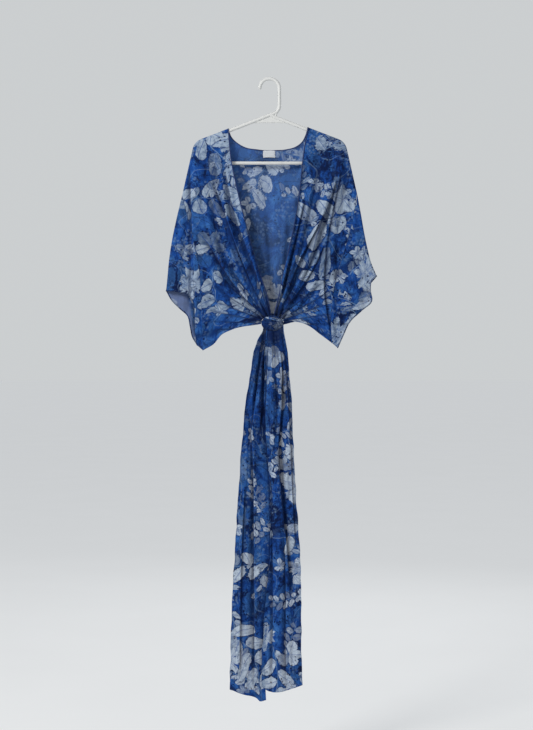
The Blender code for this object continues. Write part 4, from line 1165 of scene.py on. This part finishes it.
# TIES. Two long tails of the chiffon that leave the knot in narrow pleats and hang open below,
# each with rolled hems along both sides and a slanted end. The left one lies over the right.
TIE_ROWS = np.array([
    # z, right tie's outer edge, line at which the left tie lies over it, left tie's outer edge
    (-664, -15, -6, 38), (-690, -30, -8, 43), (-722, -41, -11, 49), (-771, -48, -11, 53),
    (-850, -61, -11, 59), (-983, -74, -5, 65), (-1116, -82, 5, 72), (-1249, -90, 4, 82), (-1382, -98, -9, 85),
    (-1515, -101, -19, 85), (-1600, -104, -19, 88)], float)
TIE_TUCK = 9.0
TIE_COLUMNS = 78
TIES = {
    "right": {
        "cut": (0.125, 0.99), "cloth": 0.105, "knot_shade": 150.0,
        "step": 5.0, "rest": -12.0, "print": (12.4, 0.9), "seed": 51,
        "hem": [(-104, -1617), (-70, -1628), (-33, -1640), (-24, -1648), (-8, -1645)],
        "pleats": [(1, 6.5, 15.0, (-52, -860), (-44, -983), (-40, -1300), (-38, -1615)),
                   # No step: this edge only paints the shadow that the left tie's edge casts on this tie.
                   (1, 0.0, 11.0, (-11, -740), (-11, -850), (-5, -983), (5, -1116), (4, -1249), (-9, -1382),
                    (-19, -1600)),
                   (1, 5.0, 9.0, (-8, -676), (-24, -760), (-38, -870), (-56, -1000)),
                   (-1, 4.0, 8.0, (-14, -680), (-18, -760), (-20, -850), (-24, -940)),
                   (-1, 4.0, 10.0, (-62, -1050), (-72, -1250), (-76, -1450), (-78, -1600))],
        "folds": [
            ((-18, -668), (-36, -780), (-62, -950), (5, 12), (6, 14), 8.0, 0.3),
            ((-6, -668), (-21, -780), (-32, -950), (4, 8), (4, 8), 5.0, 0.5),
            ((-36, -860), (-62, -1150), (-62, -1640), (22, 28), (16, 40), 7.0, 0.0),
        ],
    },
    "left": {
        "cut": (0.125, 0.97), "cloth": 0.108, "knot_shade": 45.0,
        "step": -3.0, "rest": -22.0, "print": (14.9, 5.75), "seed": 57,
        "hem": [(-19, -1606), (-5, -1617), (37, -1618), (88, -1603)],
        "pleats": [(-1, 8.0, 13.0, (20, -674), (28, -710), (34, -850), (25, -983), (34, -1116), (48, -1249),
                    (56, -1382)),
                   (1, 4.0, 10.0, (0, -690), (-6, -800), (-8, -960), (4, -1080)),
                   (1, 4.0, 9.0, (4, -1020), (8, -1150), (10, -1350), (8, -1600)),
                   (-1, 3.5, 8.0, (44, -760), (56, -950), (62, -1100), (70, -1250)),
                   (1, 3.0, 9.0, (40, -1180), (44, -1330), (44, -1480), (46, -1600))],
        "folds": [
            ((6, -668), (8, -780), (10, -1020), (10, 14), (9, 10), 11.0, 0.3),
            ((28, -668), (44, -800), (50, -1150), (9, 16), (10, 13), 10.0, 0.4),
            ((14, -1000), (26, -1240), (26, -1620), (15, 27), (15, 25), 8.0, 0.0),
            ((60, -1120), (70, -1330), (72, -1610), (12, 15), (10, 13), 5.0, 0.3),
        ],
    },
}


def build_tie(side, tie):
    z, right_outer, overlap, left_outer = TIE_ROWS.T
    starts, ends = (right_outer, overlap + TIE_TUCK) if side == "right" else (overlap, left_outer)
    shares = np.linspace(0, 1, TIE_COLUMNS)
    heights = spline(np.stack([np.arange(len(z)), z], axis=1), finer(np.linspace(0, 1, 19), 14))[:, 1]
    x0, x1 = np.interp(-heights, -z, starts), np.interp(-heights, -z, ends)
    wander = 2.2 * smooth((-heights - 680) / 120)
    x0 = x0 + wander * drift(heights / 38, heights / 90, tie["seed"] + 4)
    x1 = x1 + wander * drift(heights / 38, heights / 90, tie["seed"] + 5)
    across = x0[:, None] + (x1 - x0)[:, None] * shares[None]
    flat = np.stack([across, np.broadcast_to(heights[:, None], across.shape)], axis=2)
    last = spline(tie["hem"], shares)
    steps = np.linspace(0, 1, 12)[1:, None, None]
    flat = np.concatenate([flat, flat[-1:] + (last - flat[-1])[None] * steps])
    near_knot = smooth(1 - (KNOT[2] - flat[..., 1] - KNOT_SIZE[2]) / 90)
    spots = flat.reshape(-1, 2)
    down = (KNOT[2] - spots[:, 1]) / 1000
    share = np.broadcast_to(shares[None], flat.shape[:2]).ravel()
    spread = smooth(down / 0.25)
    wavy = (1.8 + 2.0 * spread) * drift(share * (13 - 6 * spread), down * 2.2, tie["seed"])
    wavy += 1.0 * drift(share * 22, down * 5, tie["seed"] + 1) + 0.5 * crinkle(spots, tie["seed"] + 2)
    out = (relief(spots, tie["folds"]) + wavy + pleat_edges(spots, tie["pleats"])[0]).reshape(flat.shape[:2])
    y = (tie["rest"] - out) * (1 - near_knot) + (KNOT[1] + tie["step"] - 0.4 * out) * near_knot
    y[0] = np.clip(y[0], KNOT[1] - 7, KNOT[1] + 7)
    wide, deep, high = KNOT_SIZE + KNOT_CLEAR
    squash = ((flat[0, :, 0] - KNOT[0]) / wide) ** 2 + ((y[0] - KNOT[1]) / deep) ** 2
    flat[0, :, 1] = KNOT[2] - high * np.sqrt(np.clip(1 - squash, 0.05, 1))
    grid = np.stack([flat[..., 0], y, flat[..., 1]], axis=2)
    middle = TIE_COLUMNS // 2
    fallen = lengths_along(grid[:, middle])
    widths = np.linalg.norm(np.diff(grid, axis=1), axis=2)
    across = np.concatenate([np.zeros((len(grid), 1)), np.cumsum(widths, axis=1)], axis=1)
    across -= across[:, middle:middle + 1]
    place = np.stack([across, np.broadcast_to(-fallen[:, None], across.shape)], axis=2)
    return grid, place * MM + tie["print"]


for side, tie in TIES.items():
    grid, place = build_tie(side, tie)
    # Painted shade in the ties' folds, beside their pleat edges and under the knot.
    shaded = painted_fold_shade(grid, tie["pleats"], tie["knot_shade"])
    tail = cloth(f"tie_{side}_tail", grid, FORWARDS, place, shaded)
    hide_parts("tie_" + side)
    rim = np.concatenate([grid[:, 0], grid[-1, 1:-1], grid[::-1, -1]])
    rim_place = np.concatenate([place[:, 0], place[-1, 1:-1], place[::-1, -1]])
    inside = np.concatenate([grid[:, 3], grid[-4, 1:-1], grid[::-1, -4]])
    inside[len(grid) - 1] = grid[-4, 3]
    inside[-len(grid)] = grid[-4, -4]
    tie_hem = rolled_hem(f"tie_{side}_hem", rim, rim_place, inside - rim, radius=0.6, dark=0.0)

# BINDING. One strip of plain navy cloth folded over the raw edge of the fronts and the back neck,
# and topstitched with a row of navy thread close to its inner fold.
BINDING_WIDTH = 2.8
BINDING_DEPTH = 1.8
BINDING_SIDES = 10
BINDING_RINGS = 900
bound, wiring, shader = new_material("navy_binding")
on_strip = wiring.node("ShaderNodeTexCoord", out="Object")
faded = wiring.noise(on_strip, 0.02, detail=4, roughness=0.65)
wiring.put(shader["Base Color"], wiring.mix(faded, (0.008, 0.018, 0.075, 1), (0.018, 0.042, 0.16, 1)))
strip_weave = wiring.placed(weave, {"Place": on_strip, "Threads": 420.0})
wiring.put(shader["Roughness"], strip_weave["Open"] * 0.2 + 0.65)
wiring.put(shader["Normal"], wiring.bump(0.5, 0.0003, strip_weave["Height"]))
shader["Sheen Weight"].default_value = 0.1
shader["Specular IOR Level"].default_value = 0.25


def build_binding():
    neck = back_grid[0, neck_columns]
    below = back_grid[2, neck_columns]
    pieces = [front_edges["right"], (neck, below), tuple(e[::-1] for e in front_edges["left"])]
    edge = np.vstack([p[0] for p in pieces])
    inner = np.vstack([p[1] for p in pieces])
    out = square_to(unit(np.gradient(edge, axis=0)), unit(edge - inner))
    both = resample(np.hstack([edge, out]), np.linspace(0, 1, BINDING_RINGS))
    edge, out = both[:, :3], unit(both[:, 3:])
    over = np.cross(unit(np.gradient(edge, axis=0)), out)
    return rings_round(edge + out * 0.3, BINDING_WIDTH / 2 * out, BINDING_DEPTH / 2 * over, BINDING_SIDES)


binding_grid = build_binding()
binding = cloth("neck_binding_strip", binding_grid, from_middles(binding_grid), ring=True, material=bound)
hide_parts("neck_binding")
middle = binding_grid.mean(axis=1)
to_front = binding_grid[np.arange(len(binding_grid)), binding_grid[..., 1].argmin(axis=1)] - middle
to_cloth = binding_grid[:, BINDING_SIDES // 2] - middle
binding_stitches = stitches("neck_binding_stitches", middle + 0.55 * to_cloth + 1.05 * to_front, to_front,
                            thickness=0.4)

# LABEL. A blank woven ribbon, folded under at both ends and stitched down inside the back neck.
ribbon, wiring, shader = new_material("label_ribbon")
on_ribbon = wiring.node("ShaderNodeTexCoord", out="Object")
ribbed = wiring.node("ShaderNodeTexWave", {"Vector": on_ribbon, "Scale": 500.0, "Distortion": 0.3}, out=1,
                     bands_direction="Z")
faded = wiring.noise(on_ribbon, 0.004, detail=3)
wiring.put(shader["Base Color"], wiring.mix(faded, (0.46, 0.49, 0.53, 1), (0.60, 0.63, 0.66, 1)))
wiring.put(shader["Roughness"], ribbed * 0.15 + 0.5)
wiring.put(shader["Normal"], wiring.bump(0.4, 0.0002, ribbed))
shader["Sheen Weight"].default_value = 0.1
LABEL_SIZE = np.array([32.0, 0.9, 18.4])
LABEL_TOP = -184.4
LABEL_DEPTH = 13.1
LABEL_STITCHES_OUT = 13.6
turn = np.arange(56) * math.tau / 56
heights = np.linspace(0, 1, 24)
loop = np.stack([np.cos(turn), np.sin(turn)], axis=1)
loop = np.sign(loop) * np.abs(loop) ** 0.3
label_grid = np.zeros((len(heights), len(turn), 3))
label_grid[..., 0] = LABEL_SIZE[0] / 2 * loop[None, :, 0] + 0.25 * np.sin(9 * heights)[:, None]
label_grid[..., 2] = LABEL_TOP - LABEL_SIZE[2] * heights[:, None] + 0.3 * np.cos(3 * loop[None, :, 0])
swell = 0.25 * np.sin(math.pi * heights)[:, None] * np.cos(1.5 * loop[None, :, 0])
label_grid[..., 1] = LABEL_DEPTH + (LABEL_SIZE[1] / 2 + np.maximum(swell, 0)) * loop[None, :, 1]
label = cloth("label_ribbon_loop", label_grid, from_middles(label_grid), ring=True, material=ribbon)
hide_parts("label")
spots = LABEL_TOP - 1.2 - np.linspace(0, LABEL_SIZE[2] - 2.4, 12)
for side, x in (("right", -LABEL_STITCHES_OUT), ("left", LABEL_STITCHES_OUT)):
    line = np.stack(np.broadcast_arrays(x, LABEL_DEPTH - LABEL_SIZE[1] / 2 - 0.15, spots), axis=1)
    ahead = np.broadcast_to(FORWARDS, line.shape)
    stitches(f"label_{side}_stitches", line, ahead, pitch=2.4, length=1.6)
